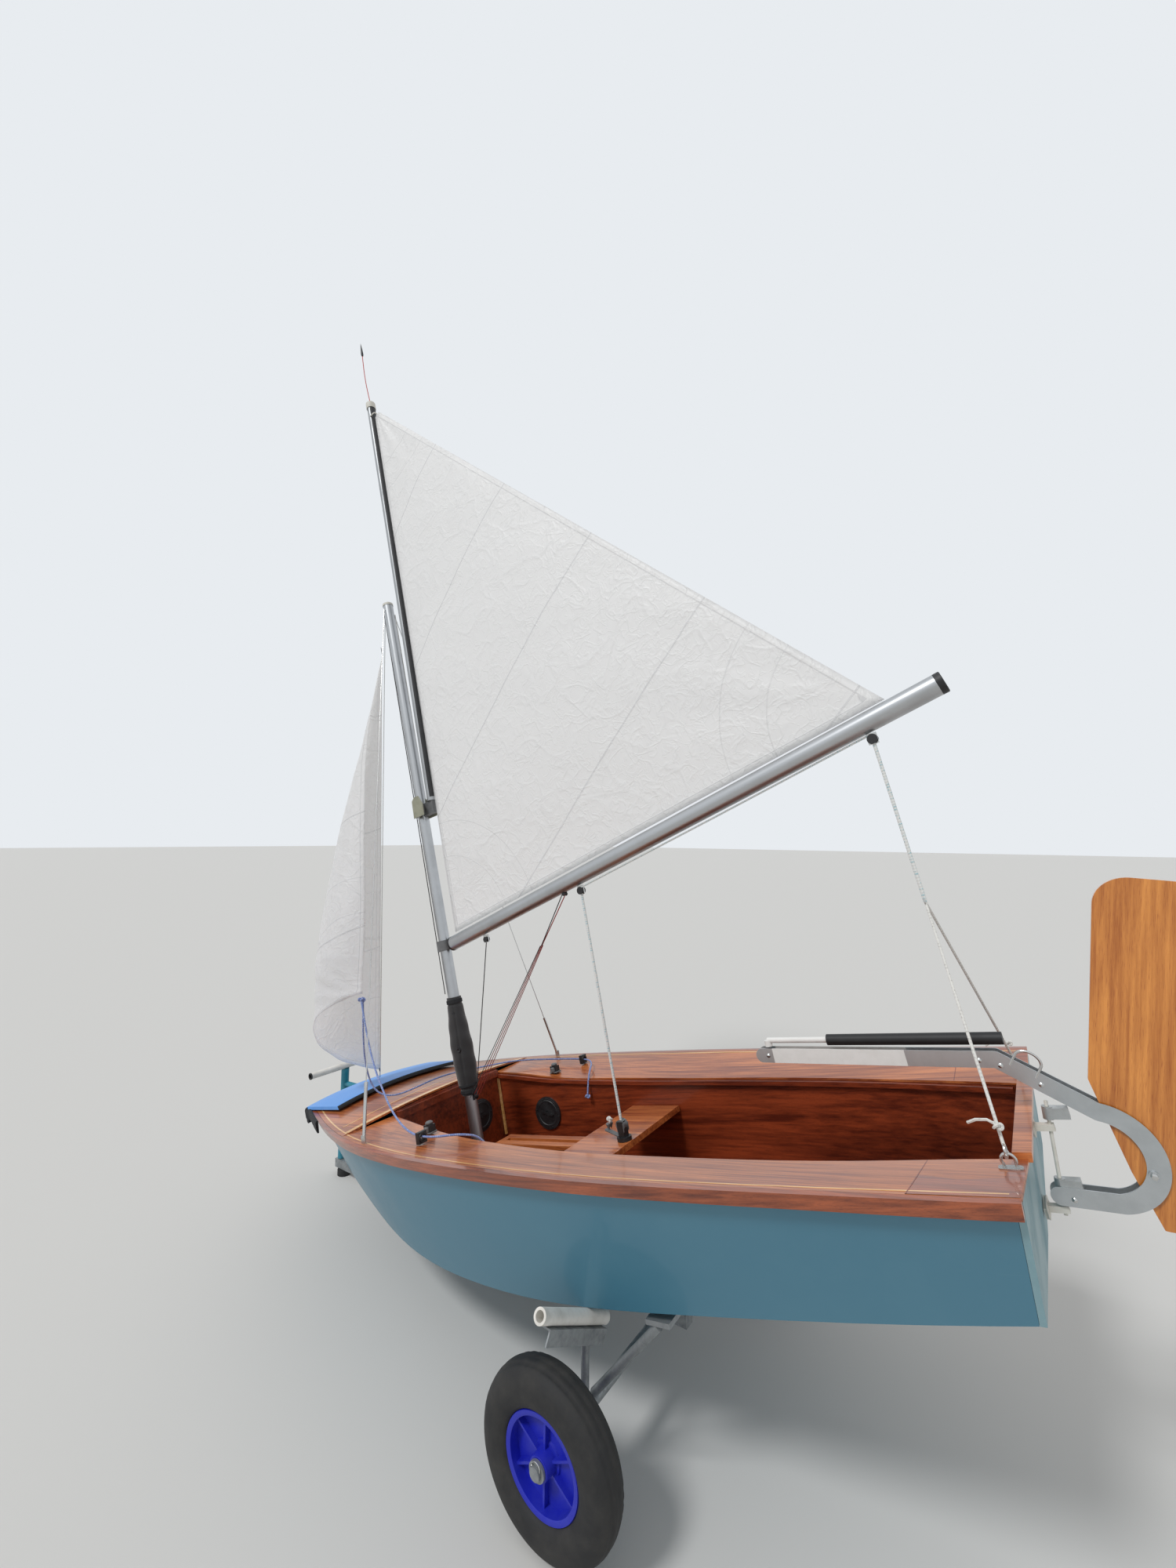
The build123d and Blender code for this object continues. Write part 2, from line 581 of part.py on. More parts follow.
def rudder():
    """Two hooked plates with bolts, the raised blade between them, and the extension on the tiller."""
    stock = stock_plate(1) + stock_plate(-1)
    gap = PLATE_GAP / 2
    for x, z in BOLTS:
        stock += rod((x, -gap, z), (x, gap, z), 10)
    edge = gap + PLATE_THICK + 3
    for side in (1, -1):
        stock += rod((PIVOT.X, side * (gap + 0.5), PIVOT.Z), (PIVOT.X, side * edge, PIVOT.Z), 20)
    stock += rod((PIVOT.X, -edge, PIVOT.Z), (PIVOT.X, edge, PIVOT.Z), 9)
    save("rudder_stock", stock)
    lugs = []
    for z in LUG_Z:
        here = pintle_at(z)
        sleeve = rod(pintle_at(z - 14), pintle_at(z + 14), 22)
        plate = block(here.X - 42, here.X, -gap + 0.5, gap - 0.5, z - 12, z + 12)
        lugs.append((sleeve + plate) - rod(pintle_at(z - 30), pintle_at(z + 30), 9.2))
    save("rudder_lugs", *lugs)
    front, back = Vector(598, 0, 183), Vector(-12, 0, 151)
    along = (back - front).normalized()
    grip = rod(front + along * 180, back, 30)
    save("tiller_extension", rod(front, back, 16) + grip + rod(front - Vector(0, 0, 17), front, 22))
    save("rudder_blade", blade())
    fittings = rod(pintle_at(GUDGEON_Z[1] - 14), pintle_at(6), 8)
    for z in GUDGEON_Z:
        here = pintle_at(z)
        face = STERN_RAKE * z - END_PLY - SEAM - 3
        fittings += block(here.X - 9, face - 3, -9, 9, z - 7, z + 7)
        fittings += block(face - 7, face, -34, 34, z - 11, z + 11)
    save("transom_fittings", fittings)


def blade():
    """Varnished board, raised: rounded tip, cut-back head at the pivot."""
    turn = math.radians(BLADE_TILT)
    up = Vector(-math.sin(turn), 0, math.cos(turn))
    aft = Vector(-math.cos(turn), 0, -math.sin(turn))

    def on(u, v):
        return BLADE_AT + up * u + aft * v + Vector(0, -BLADE_THICK / 2, 0)

    tip, fore, rear = BLADE_LONG, -BLADE_FORE, BLADE_REAR
    edges = [
        Edge.make_three_point_arc(on(tip - 70, fore), on(tip - 20, fore + 20), on(tip, fore + 70)),
        Edge.make_line(on(tip, fore + 70), on(tip, rear - 90)),
        Edge.make_three_point_arc(on(tip, rear - 90), on(tip - 26, rear - 26), on(tip - 90, rear)),
        Edge.make_line(on(tip - 90, rear), on(-10, rear)),
        Edge.make_three_point_arc(on(-10, rear), on(-88, 88), on(-112, 30)),
        Edge.make_line(on(-112, 30), on(-10, -26)),
        Edge.make_line(on(-10, -26), on(168, fore)),
        Edge.make_line(on(168, fore), on(tip - 70, fore)),
    ]
    board = Solid.extrude(Face(Wire(edges)), Vector(0, BLADE_THICK, 0))
    return board - rod((PIVOT.X, -20, PIVOT.Z), (PIVOT.X, 20, PIVOT.Z), 10)


def on_deck(x, y, size):
    """Small fitting standing on the side deck; size is length, width, height."""
    yi, zi = (at(INNER_EDGE, x, c) for c in (1, 2))
    yg, zg = (at(SECTIONS, x, c) for c in (1, 2))
    z = zi + (zg - zi) * (abs(y) + size[1] / 2 - yi) / (yg - yi) + 2
    return Pos(x, y, z + size[2] / 2) * Box(*size)


def deck_gear():
    """Hatches, fairleads, cleats, quarter blocks, mainsheet jammer, bow pad and the jib's sheets."""
    x = BULKHEAD_X - BULKHEAD_PLY
    lid = rod((x - 7, *HATCH_BULKHEAD), (x - 0.3, *HATCH_BULKHEAD), HATCH_D)
    wall = Vector(HATCH_TANK_X, -at(INNER_EDGE, HATCH_TANK_X, 1), HATCH_TANK_Z)
    slope = at(INNER_EDGE, HATCH_TANK_X + 60, 1) - at(INNER_EDGE, HATCH_TANK_X - 60, 1)
    inward = Vector(slope / 120, 1, 0).normalized()
    save("hatches", lid, rod(wall + inward * 1.2, wall + inward * 8, HATCH_D))
    gear = []
    for side in (1, -1):
        eye = on_deck(FAIRLEAD[0], side * FAIRLEAD[1], (16, 34, 36))
        centre = eye.center()
        gear.append(eye - rod(centre - Vector(20, 0, -4), centre + Vector(20, 0, 4), 20))
        gear.append(on_deck(CAM[0], side * CAM[1], (34, 26, 28)))
    save("jib_fairleads", *gear)
    save("quarter_blocks", *[on_deck(14, side * 318, (22, 24, 38)) for side in (1, -1)])
    middle = THWART_X[0] + 30
    base = Pos(middle, 0, THWART_TOP + 7) * Cylinder(26, 12)
    cheeks = Pos(middle, 0, THWART_TOP + 36) * Box(24, 28, 52)
    save("mainsheet_jammer", base + cheeks)
    sections = []
    yg, zg = SECTIONS[-1][1:3]
    wide = yg + STRAKE_OUT + 6
    for y in (-wide, -wide / 2, 0, wide / 2, wide):
        bulge = 1 - (y / wide) ** 2
        top = zg + deck_crown(STATIONS[-1]) * bulge + 3
        back, face, front = 2410 + 40 * bulge, 2656, 2676 + 44 * bulge
        points = [(back, top), (back, top + 14), (front, top + 14),
                  (front, top - 54), (face, top - 54), (face, top)]
        sections.append(Wire.make_polygon([Vector(px, y, pz) for px, pz in points], close=True))
    save("bow_pad", Solid.make_loft(sections))
    for name, route in (("jib_sheet_port", SHEET_PORT), ("jib_sheet_starboard", SHEET_STARBOARD)):
        save(name, cord(name, route, SHEET_D))


def wheel_disc(side, radius, inner, outer):
    """Round piece on a wheel's axis, measured outward from the wheel's middle."""
    y = side * WHEEL_Y
    start = Plane(origin=(0, y + side * inner, AXLE_Z), z_dir=(0, side, 0))
    return Solid.make_cylinder(radius, outer - inner, start)


def tyre(side):
    """Balloon tyre turned from its section."""
    half = [(radius, wide) for radius, wide in TYRE_SECTION]
    ring = half + [(radius, -wide) for radius, wide in reversed(half)]
    middle = side * WHEEL_Y
    corners = [Vector(radius, middle + wide, AXLE_Z) for radius, wide in ring]
    section = Wire.make_polygon(corners, close=True)
    return Solid.revolve(Face(section), 360, Axis((0, 0, AXLE_Z), (0, 1, 0)))


def wheel_centre(side):
    """Plastic centre: barrel, web, six ribs and the boss that runs on the axle."""
    body = wheel_disc(side, RIM_R, -34, 34) - wheel_disc(side, RIM_R - 12, -40, 40)
    body += wheel_disc(side, RIM_R - 11, -6, 6)
    body += wheel_disc(side, 27, -42, 42)
    for index in range(RIBS):
        rib = Pos(62, 0, 0) * Box(82, 6, 44)
        place = Location((0, side * WHEEL_Y, AXLE_Z)) * Rotation(90, 0, 0)
        body += place * Rotation(0, 0, 360 / RIBS * (index + 0.5)) * rib
    return body - wheel_disc(side, AXLE_D / 2 + 0.8, -60, 60)


def trolley():
    end = WHEEL_Y + 58
    save("axle", tube((0, -end, AXLE_Z), (0, end, AXLE_Z), AXLE_D, BAR_WALL), in_hull=False)
    washers, frames, pads = [], [], []
    for name, side in (("port", 1), ("starboard", -1)):
        save(f"tyre_{name}", tyre(side), in_hull=False)
        save(f"wheel_centre_{name}", wheel_centre(side), in_hull=False)
        washers.append(wheel_disc(side, 23, 44, 50) - wheel_disc(side, AXLE_D / 2 + 0.1, 40, 56))
        turn = math.radians(CRADLE_ANGLE)
        outer = Vector(0, side * CRADLE_END.Y, CRADLE_END.Z)
        inward = Vector(0, -side * math.cos(turn), -math.sin(turn))
        inner = outer + inward * CRADLE_LONG
        pads.append(rod(outer, inner, CRADLE_D) - rod(outer - inward, outer + inward * 40, CRADLE_D - 12))
        below = Vector(0, side * math.sin(turn), -math.cos(turn))
        middle = (outer + inner) * 0.5 + inward * 12
        tilt = Location((middle.X, middle.Y, middle.Z), (side * CRADLE_ANGLE, 0, 0))
        drop = CRADLE_D / 2 + 2.6
        flange = tilt * (Pos(0, 0, -drop) * Box(BAR_SIZE, CRADLE_LONG - 40, 4))
        flange += tilt * (Pos(-BAR_SIZE / 2 + 2, 0, -drop - 16) * Box(4, CRADLE_LONG - 40, 34))
        across = (outer.Y - side * POST_Y) * side / math.cos(turn)
        under = outer + inward * across + below * (drop + 2)
        post = rod((0, side * POST_Y, AXLE_Z + AXLE_D / 2 + 0.4), (0, side * POST_Y, under.Z - 9), 22)
        brace = rod((-8, side * 448, AXLE_Z + AXLE_D / 2 + 14), (-205, side * 448, 484), 22)
        rest = Location((-208, side * 430, 496), (0, TRIM, 0)) * Box(70, 60, 12)
        frames += [flange + post, brace + rest]
    save("axle_washers", *washers, in_hull=False)
    save("cradle_frames", *frames, in_hull=False)
    save("cradle_pads", *pads, in_hull=False)
    run = BAR_FRONT - BAR_BACK
    pitch = math.degrees(math.atan2(-run.Z, run.X))
    along_bar = Location((BAR_BACK.X, 0, BAR_BACK.Z), (0, pitch, 0))
    beam = Box(run.length, BAR_SIZE, BAR_SIZE)
    beam -= Box(run.length - 2 * TUBE_CAP, BAR_SIZE - 2 * BAR_WALL, BAR_SIZE - 2 * BAR_WALL)
    save("drawbar", along_bar * (Pos(run.length / 2, 0, 0) * beam), in_hull=False)
    save("trolley_foot", Pos(1863, 0, 13) * Cylinder(34, 26), in_hull=False)
    chock = along_bar * (Pos(BOW_CHOCK_X, 0, BAR_SIZE / 2 + 44) * Box(60, 60, 86))
    save("bow_chock", chock, in_hull=False)
    post = rod((HANDLE_X, 0, 70), (HANDLE_X, 0, HANDLE_Z - 15.5), 38)
    stop = rod((HANDLE_X - 10, 0, 432), (1738, 0, 446), 24) + block(1728, 1744, -45, 45, 425, 470)
    save("front_post", post + stop, in_hull=False)
    grip = rod((HANDLE_X, -HANDLE_HALF, HANDLE_Z), (HANDLE_X, HANDLE_HALF, HANDLE_Z), 30)
    grip -= rod((HANDLE_X, -HANDLE_HALF - 1, HANDLE_Z), (HANDLE_X, HANDLE_HALF + 1, HANDLE_Z), 24)
    save("tow_handle", grip, in_hull=False)


hull_panels()
end_panels()
deck_surface()
inside()
standing_rig()
running_rig()
rudder()
deck_gear()
trolley()
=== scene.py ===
import bpy
import bmesh
import math
import numpy as np
from mathutils import Matrix


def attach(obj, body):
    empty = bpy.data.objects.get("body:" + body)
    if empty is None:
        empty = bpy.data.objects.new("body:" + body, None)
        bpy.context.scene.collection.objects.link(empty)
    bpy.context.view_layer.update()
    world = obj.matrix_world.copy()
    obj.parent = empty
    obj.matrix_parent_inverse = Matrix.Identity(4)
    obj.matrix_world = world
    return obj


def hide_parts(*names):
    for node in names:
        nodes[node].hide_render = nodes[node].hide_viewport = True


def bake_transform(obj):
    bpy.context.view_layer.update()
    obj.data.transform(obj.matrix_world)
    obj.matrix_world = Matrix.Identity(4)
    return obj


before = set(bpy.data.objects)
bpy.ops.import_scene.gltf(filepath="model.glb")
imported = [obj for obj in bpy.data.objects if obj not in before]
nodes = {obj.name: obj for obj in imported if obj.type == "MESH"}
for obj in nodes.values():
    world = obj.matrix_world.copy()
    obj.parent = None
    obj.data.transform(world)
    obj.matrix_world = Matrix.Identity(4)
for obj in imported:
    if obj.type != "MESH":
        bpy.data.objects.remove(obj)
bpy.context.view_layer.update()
scene = bpy.context.scene
boat, rig = "boat_and_trolley", "boom_and_sail"

hull = {"back": -0.957, "height": 1.06, "trim": math.radians(14.7)}   # stern deck's place in m, bow-down turn
mast = {"foot": 1975, "lean": math.radians(2.5)}   # x at deck height in mm, lean forward
fullTurn = 2 * math.pi


def toRow(points):  # hull place in mm to row place in m: turned nose down about y, then shifted
    p = np.asarray(points, float) / 1000
    x = p[..., 0] * math.cos(hull["trim"]) + p[..., 2] * math.sin(hull["trim"]) + hull["back"]
    z = p[..., 2] * math.cos(hull["trim"]) - p[..., 0] * math.sin(hull["trim"]) + hull["height"]
    return np.stack([x, p[..., 1], z], -1)


def turned(vector):  # hull direction in the row frame, one long
    d = toRow(vector) - toRow((0, 0, 0))
    return d / np.linalg.norm(d)


def curveAt(table, x, column):
    # smooth curve through a table: cubic between rows, with slopes from the rows on either side
    t = np.asarray(table, float)
    x = np.asarray(x, float)
    slope = np.gradient(t[:, column], t[:, 0])
    k = np.clip(np.searchsorted(t[:, 0], x, side="right") - 1, 0, len(t) - 2)
    gap = t[k + 1, 0] - t[k, 0]
    s = (x - t[k, 0]) / gap
    a, b = t[k, column], t[k + 1, column]
    level = a + (b - a) * s * s * (3 - 2 * s)
    return level + s * (1 - s) ** 2 * gap * slope[k] - s * s * (1 - s) * gap * slope[k + 1]


def patch(points, across=1.0, along=1.0, wrapRows=False, wrapColumns=False, marks=None):
    # rows by columns of points; UV runs 0..across over the columns and 0..along over the rows
    return {"points": np.asarray(points, float), "uv": (across, along), "wrap": (wrapRows, wrapColumns),
            "marks": marks or {}}


def makePiece(name, patches, look, body, sharp=35, bevel=0.0, thick=0.0):
    # each quad joins a point, the next across, the one past it and the one above;
    # then doubles merge and faces turn out. A pair of places as body leaves the piece on no body, with its place baked
    # into the mesh.
    verts, quads, uvs, first = [], [], [], 0
    marks = {key: [] for p in patches for key in p["marks"]}
    for p in patches:
        rows, columns = p["points"].shape[:2]
        i = np.arange(rows if p["wrap"][0] else rows - 1)[:, None]
        j = np.arange(columns if p["wrap"][1] else columns - 1)[None, :]
        i, j = np.broadcast_arrays(i, j)
        rowOf = np.stack([i, i, i + 1, i + 1], -1)
        columnOf = np.stack([j, j + 1, j + 1, j], -1)
        quads.append((rowOf % rows * columns + columnOf % columns + first).reshape(-1, 4))
        u = columnOf / max(1, j.max() + 1) * p["uv"][0]
        v = rowOf / max(1, i.max() + 1) * p["uv"][1]
        uvs.append(np.stack([u, v], -1).reshape(-1, 2))
        verts.append(p["points"].reshape(-1, 3))
        for key in marks:
            marks[key].append(np.asarray(p["marks"].get(key, np.zeros((rows, columns)))).reshape(-1))
        first += rows * columns
    mesh = bpy.data.meshes.new(name)
    mesh.from_pydata(np.concatenate(verts).tolist(), [], np.concatenate(quads).tolist())
    flatUvs = np.concatenate(uvs).astype(np.float32).ravel()
    mesh.uv_layers.new(name="UVMap").data.foreach_set("uv", flatUvs)
    for key, values in marks.items():
        mark = mesh.attributes.new(key, "FLOAT", "POINT")
        mark.data.foreach_set("value", np.concatenate(values).astype(np.float32))
    work = bmesh.new()
    work.from_mesh(mesh)
    bmesh.ops.remove_doubles(work, verts=work.verts, dist=2e-6)
    bmesh.ops.recalc_face_normals(work, faces=work.faces)
    work.to_mesh(mesh)
    work.free()
    piece = bpy.data.objects.new(name, mesh)
    scene.collection.objects.link(piece)
    mesh.materials.append(look)
    mesh.polygons.foreach_set("use_smooth", np.ones(len(mesh.polygons), bool))
    mesh.set_sharp_from_angle(angle=math.radians(sharp))
    if thick:
        wall = piece.modifiers.new("wall", "SOLIDIFY")
        wall.thickness, wall.offset = thick, 0
    if bevel:
        edge = piece.modifiers.new("edge", "BEVEL")
        edge.width, edge.segments = bevel, 2
        edge.limit_method, edge.angle_limit = "ANGLE", math.radians(30)
        edge.harden_normals = True
    if isinstance(body, tuple):
        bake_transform(piece)
    else:
        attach(piece, body)
    return piece


def ringAxes(axis):  # the axis one long, and two directions square to it and to each other
    axis = np.asarray(axis, float) / np.linalg.norm(axis)
    other = np.array([0.0, 0, 1]) if abs(axis[2]) < 0.9 else np.array([1.0, 0, 0])
    a = np.cross(other, axis)
    a /= np.linalg.norm(a)
    return axis, a, np.cross(axis, a)


def around(count):  # angles evenly round a circle
    return np.linspace(0, fullTurn, count, endpoint=False)


def tube(path, radius, sides=12, closed=False):
    # circles carried along a path, each ring's first direction slid along from the last, drawn to a point at the ends
    p = np.asarray(path, float)
    tangent = np.roll(p, -1, 0) - np.roll(p, 1, 0) if closed else np.gradient(p, axis=0)
    tangent /= np.linalg.norm(tangent, axis=1)[:, None]
    side = ringAxes(tangent[0])[1]
    sidesAlong = []
    for t in tangent:
        side = side - t * (side @ t)
        side = side / np.linalg.norm(side)
        sidesAlong.append(side)
    a = np.array(sidesAlong)
    b = np.cross(tangent, a)
    turn = around(sides)
    r = np.broadcast_to(np.asarray(radius, float), (len(p),))[:, None, None]
    rings = p[:, None] + r * (np.cos(turn)[None, :, None] * a[:, None] + np.sin(turn)[None, :, None] * b[:, None])
    length = np.linalg.norm(np.diff(p, axis=0), axis=1).sum()
    if closed:
        return patch(rings, 1, length, True, True)
    ends = [np.repeat(p[:1, None], sides, 1), rings, np.repeat(p[-1:, None], sides, 1)]
    return patch(np.concatenate(ends), 1, length, wrapColumns=True)


def lathe(profile, origin, axis, sides=40):  # reach along the axis and radius of each point in mm, turned about it
    axis, a, b = ringAxes(axis)
    turn = around(sides)
    q = np.asarray(profile, float) / 1000
    rings = (np.asarray(origin) + q[:, :1] * axis)[:, None] + q[:, 1][:, None, None] * (
        np.cos(turn)[None, :, None] * a + np.sin(turn)[None, :, None] * b)
    return patch(rings, wrapColumns=True)


def slab(outline, origin, across, up, depth):
    # flat outline in mm on two directions, pushed along their cross, closed by fans
    o = np.asarray(outline, float) / 1000
    ring = np.asarray(origin) + o[:, :1] * np.asarray(across) + o[:, 1:] * np.asarray(up)
    push = np.cross(across, up) * depth / 1000
    middle = np.repeat(ring.mean(0)[None], len(ring), 0)
    return patch(np.stack([middle, ring, ring + push, middle + push]), wrapColumns=True)


def plate(wide, high, corner, place, thick):  # round-cornered plate that lies along the hull at a hull place
    return slab(roundRect(wide, high, corner), toRow(place), ahead, across, thick)


def block(centre, size):  # box in mm about a hull place, turned with the hull
    x, y, z = size
    corners = [(-x / 2, -y / 2), (x / 2, -y / 2), (x / 2, y / 2), (-x / 2, y / 2)]
    return slab(corners, toRow(np.asarray(centre) - (0, 0, z / 2)), ahead, across, z)


def roundRect(wide, high, corner, steps=4):  # outline of a rectangle whose corners are quarter circles
    turn = np.linspace(0, math.pi / 2, steps)
    out = []
    for k, (sx, sy) in enumerate(((1, 1), (-1, 1), (-1, -1), (1, -1))):
        out += [(sx * (wide / 2 - corner) + corner * math.cos(t + k * math.pi / 2),
                 sy * (high / 2 - corner) + corner * math.sin(t + k * math.pi / 2)) for t in turn]
    return out


def capped(rows):  # hull rings from end to end, with a fan to the middle of the first and the last
    ends = [np.repeat(rows[k].mean(0)[None, None], rows.shape[1], 1) for k in (0, -1)]
    return patch(toRow(np.concatenate([ends[0], rows, ends[1]])), wrapColumns=True)


def line(a, b, count):  # even points from a to b
    return np.asarray(a) + (np.asarray(b) - np.asarray(a)) * np.linspace(0, 1, count)[:, None]


ahead, upward, across = turned((1, 0, 0)), turned((0, 0, 1)), (0, 1, 0)


def newGroup(name, inputs, outputs):
    tree = bpy.data.node_groups.new(name, "ShaderNodeTree")
    kinds = {"v": "NodeSocketVector", "f": "NodeSocketFloat", "c": "NodeSocketColor"}
    for label, kind in inputs:
        tree.interface.new_socket(label, in_out="INPUT", socket_type=kinds[kind])
    for label, kind in outputs:
        tree.interface.new_socket(label, in_out="OUTPUT", socket_type=kinds[kind])
    return tree, tree.nodes.new("NodeGroupInput").outputs, tree.nodes.new("NodeGroupOutput").inputs


def feed(tree, node, links):  # a socket is linked, a plain value is set
    for socket, value in links.items():
        if isinstance(value, bpy.types.NodeSocket):
            tree.links.new(value, node.inputs[socket])
        else:
            node.inputs[socket].default_value = value
    return node.outputs


def put(tree, kind, links=None, **settings):  # one node: plain settings by name, sockets by number or name
    node = tree.nodes.new("ShaderNode" + kind)
    for key, value in settings.items():
        setattr(node, key, value)
    return feed(tree, node, links or {})


def stretchNoise(tree, vector, scale, detail=4, rough=0.55, distort=0.0):  # noise on a vector scaled by three numbers
    scaled = put(tree, "VectorMath", {0: vector, 1: scale}, operation="MULTIPLY")[0]
    return put(tree, "TexNoise", {"Vector": scaled, "Scale": 1.0, "Detail": detail, "Roughness": rough,
                                  "Distortion": distort})["Fac"]


def ramp(tree, value, low, high, outLow=0.0, outHigh=1.0):
    return put(tree, "MapRange", {0: value, 1: low, 2: high, 3: outLow, 4: outHigh})[0]


def mixColour(tree, factor, a, b, blend="MIX"):
    return put(tree, "Mix", {0: factor, 6: a, 7: b}, data_type="RGBA", blend_type=blend)[2]


def join(tree, a, b, how="ADD"):
    return put(tree, "Math", {0: a, 1: b}, operation=how)[0]


def times(tree, a, b):
    return join(tree, a, b, "MULTIPLY")


def only(tree, a, how):  # a function of one number
    return put(tree, "Math", {0: a}, operation=how)[0]


def band(tree, value, centre, low, high, top=1.0):  # top near the centre, falling to 0 between two distances from it
    return ramp(tree, only(tree, join(tree, value, centre, "SUBTRACT"), "ABSOLUTE"), low, high, top, 0)


def grainGroup():  # long streaks, broad bands and short pores along the plank
    tree, given, out = newGroup("grain", (("Vector", "v"), ("Dark", "c"), ("Light", "c")),
                                (("Color", "c"), ("Height", "f")))
    bands = stretchNoise(tree, given["Vector"], (1.1, 9, 9), 3, 0.5, 0.6)
    streaks = stretchNoise(tree, given["Vector"], (4, 95, 95), 5, 0.6, 0.3)
    pores = stretchNoise(tree, given["Vector"], (38, 900, 900), 2, 0.5)
    mixed = join(tree, times(tree, bands, 0.45), times(tree, streaks, 0.55))
    colour = mixColour(tree, ramp(tree, mixed, 0.39, 0.61), given["Dark"], given["Light"])
    flecked = mixColour(tree, ramp(tree, pores, 0.56, 0.72, 0, 0.45), colour, given["Dark"], "MULTIPLY")
    tree.links.new(flecked, out["Color"])
    tree.links.new(join(tree, pores, times(tree, streaks, 0.4)), out["Height"])
    return tree


def wearGroup():  # cloudy dirt and small scratches over a clean colour
    tree, given, out = newGroup("wear", (("Vector", "v"), ("Scale", "f"), ("Amount", "f"), ("Clean", "c"),
                                         ("Worn", "c")), (("Color", "c"), ("Mask", "f"), ("Height", "f")))
    scaled = put(tree, "VectorMath", {0: given["Vector"], 3: given["Scale"]}, operation="SCALE")[0]
    cloud = stretchNoise(tree, scaled, (1, 1, 1), 7, 0.62)
    scratch = stretchNoise(tree, scaled, (1.5, 26, 26), 4, 0.7, 1.2)
    fine = stretchNoise(tree, scaled, (60, 60, 60), 2, 0.5)
    marked = join(tree, ramp(tree, cloud, 0.42, 0.72), ramp(tree, scratch, 0.66, 0.74, 0, 0.7))
    mask = times(tree, marked, given["Amount"])
    tree.links.new(mixColour(tree, mask, given["Clean"], given["Worn"]), out["Color"])
    tree.links.new(mask, out["Mask"])
    tree.links.new(join(tree, times(tree, cloud, 0.5), times(tree, fine, 0.5)), out["Height"])
    return tree


def braidGroup():  # two sets of strands that cross as they wind; u is round the line and v runs along in metres
    tree, given, out = newGroup("braid", (("UV", "v"), ("Pitch", "f"), ("Base", "c"), ("Fleck", "c")),
                                (("Color", "c"), ("Height", "f")))
    parts = put(tree, "SeparateXYZ", {0: given["UV"]})
    wound = times(tree, parts["X"], 4.0)
    along = times(tree, parts["Y"], given["Pitch"])
    strands = [only(tree, times(tree, join(tree, along, wound, how), 6.2832), "SINE") for how in ("ADD", "SUBTRACT")]
    height = times(tree, *strands)
    patches = stretchNoise(tree, given["UV"], (3, 90, 1), 1, 0.4)
    mask = times(tree, ramp(tree, height, -0.2, 0.9), ramp(tree, patches, 0.45, 0.6))
    tree.links.new(mixColour(tree, mask, given["Base"], given["Fleck"]), out["Color"])
    tree.links.new(height, out["Height"])
    return tree


def clothGroup():  # crinkles as folded noise, seams at even heights, tape at the edges, layers at the corners; the crinkle ridges also darken the cloth towards the thread grey as painted crease shade
    tree, given, out = newGroup("sailcloth", (("Vector", "v"), ("Height", "f"), ("Edge", "f"), ("Corner", "f"),
                                              ("Gap", "f"), ("Cloth", "c"), ("ThreadAndShade", "c")),
                                (("Color", "c"), ("Height", "f")))
    fold = None
    for size, share in ((4.5, 0.8), (11.0, 0.6), (26.0, 0.4)):
        noise = stretchNoise(tree, given["Vector"], (size, size, size), 2, 0.5, 0.7)
        ridge = times(tree, band(tree, noise, 0.5, 0.0, 0.05), share)
        fold = ridge if fold is None else join(tree, fold, ridge)
    cell = only(tree, join(tree, given["Height"], given["Gap"], "DIVIDE"), "FRACT")
    seam = only(tree, join(tree, cell, 0.5, "SUBTRACT"), "ABSOLUTE")
    seam = ramp(tree, times(tree, seam, given["Gap"]), 0.0025, 0.004, 1, 0)
    for reach in (0.34, 0.5):
        seam = join(tree, seam, band(tree, given["Corner"], reach, 0.0015, 0.003, 0.6), "MAXIMUM")
    tape = ramp(tree, given["Edge"], 0.022, 0.024, 1, 0)
    stitch = band(tree, given["Edge"], 0.021, 0.001, 0.0022)
    layers = join(tree, *(ramp(tree, given["Corner"], reach, reach + 0.003, 1, 0) for reach in (0.2, 0.34)))
    weave = stretchNoise(tree, given["Vector"], (900, 900, 900), 1, 0.5)
    seamsAndShade = join(tree, times(tree, seam, 0.45), times(tree, stitch, 0.5), "MAXIMUM")
    # painted shade: the crinkle ridges darken the cloth a little towards the thread grey, on top of the real seams and
    # stitches
    seamsAndShade = join(tree, seamsAndShade, times(tree, fold, 0.035))
    tree.links.new(mixColour(tree, seamsAndShade, given["Cloth"], given["ThreadAndShade"]), out["Color"])
    raised = join(tree, times(tree, fold, 0.9), times(tree, layers, 0.35))
    raised = join(tree, raised, times(tree, join(tree, tape, seam), 0.35))
    tree.links.new(join(tree, raised, times(tree, weave, 0.06)), out["Height"])
    return tree


groups = {"grain": grainGroup(), "wear": wearGroup(), "braid": braidGroup(), "cloth": clothGroup()}


def shader(name, rough, metallic=0.0, coat=0.0, sheen=0.0):
    look = bpy.data.materials.new(name)
    look.use_nodes = True
    surface = look.node_tree.nodes["Principled BSDF"].inputs
    values = {"Roughness": rough, "Metallic": metallic, "Coat Weight": coat, "Coat Roughness": 0.08,
              "Sheen Weight": sheen}
    for socket, value in values.items():
        surface[socket].default_value = value
    return look, look.node_tree, surface


def useGroup(tree, key, links):
    node = tree.nodes.new("ShaderNodeGroup")
    node.node_tree = groups[key]
    return feed(tree, node, links)


def finishLook(tree, surface, colour, height, strength, distance):
    tree.links.new(colour, surface["Base Color"])
    bump = put(tree, "Bump", {"Height": height, "Strength": strength, "Distance": distance})[0]
    tree.links.new(bump, surface["Normal"])


def rgb(red, green, blue):  # screen values 0..255 to linear light
    c = np.array([red, green, blue]) / 255
    linear = np.where(c <= 0.04045, c / 12.92, ((c + 0.055) / 1.055) ** 2.4)
    return (*map(float, linear), 1.0)


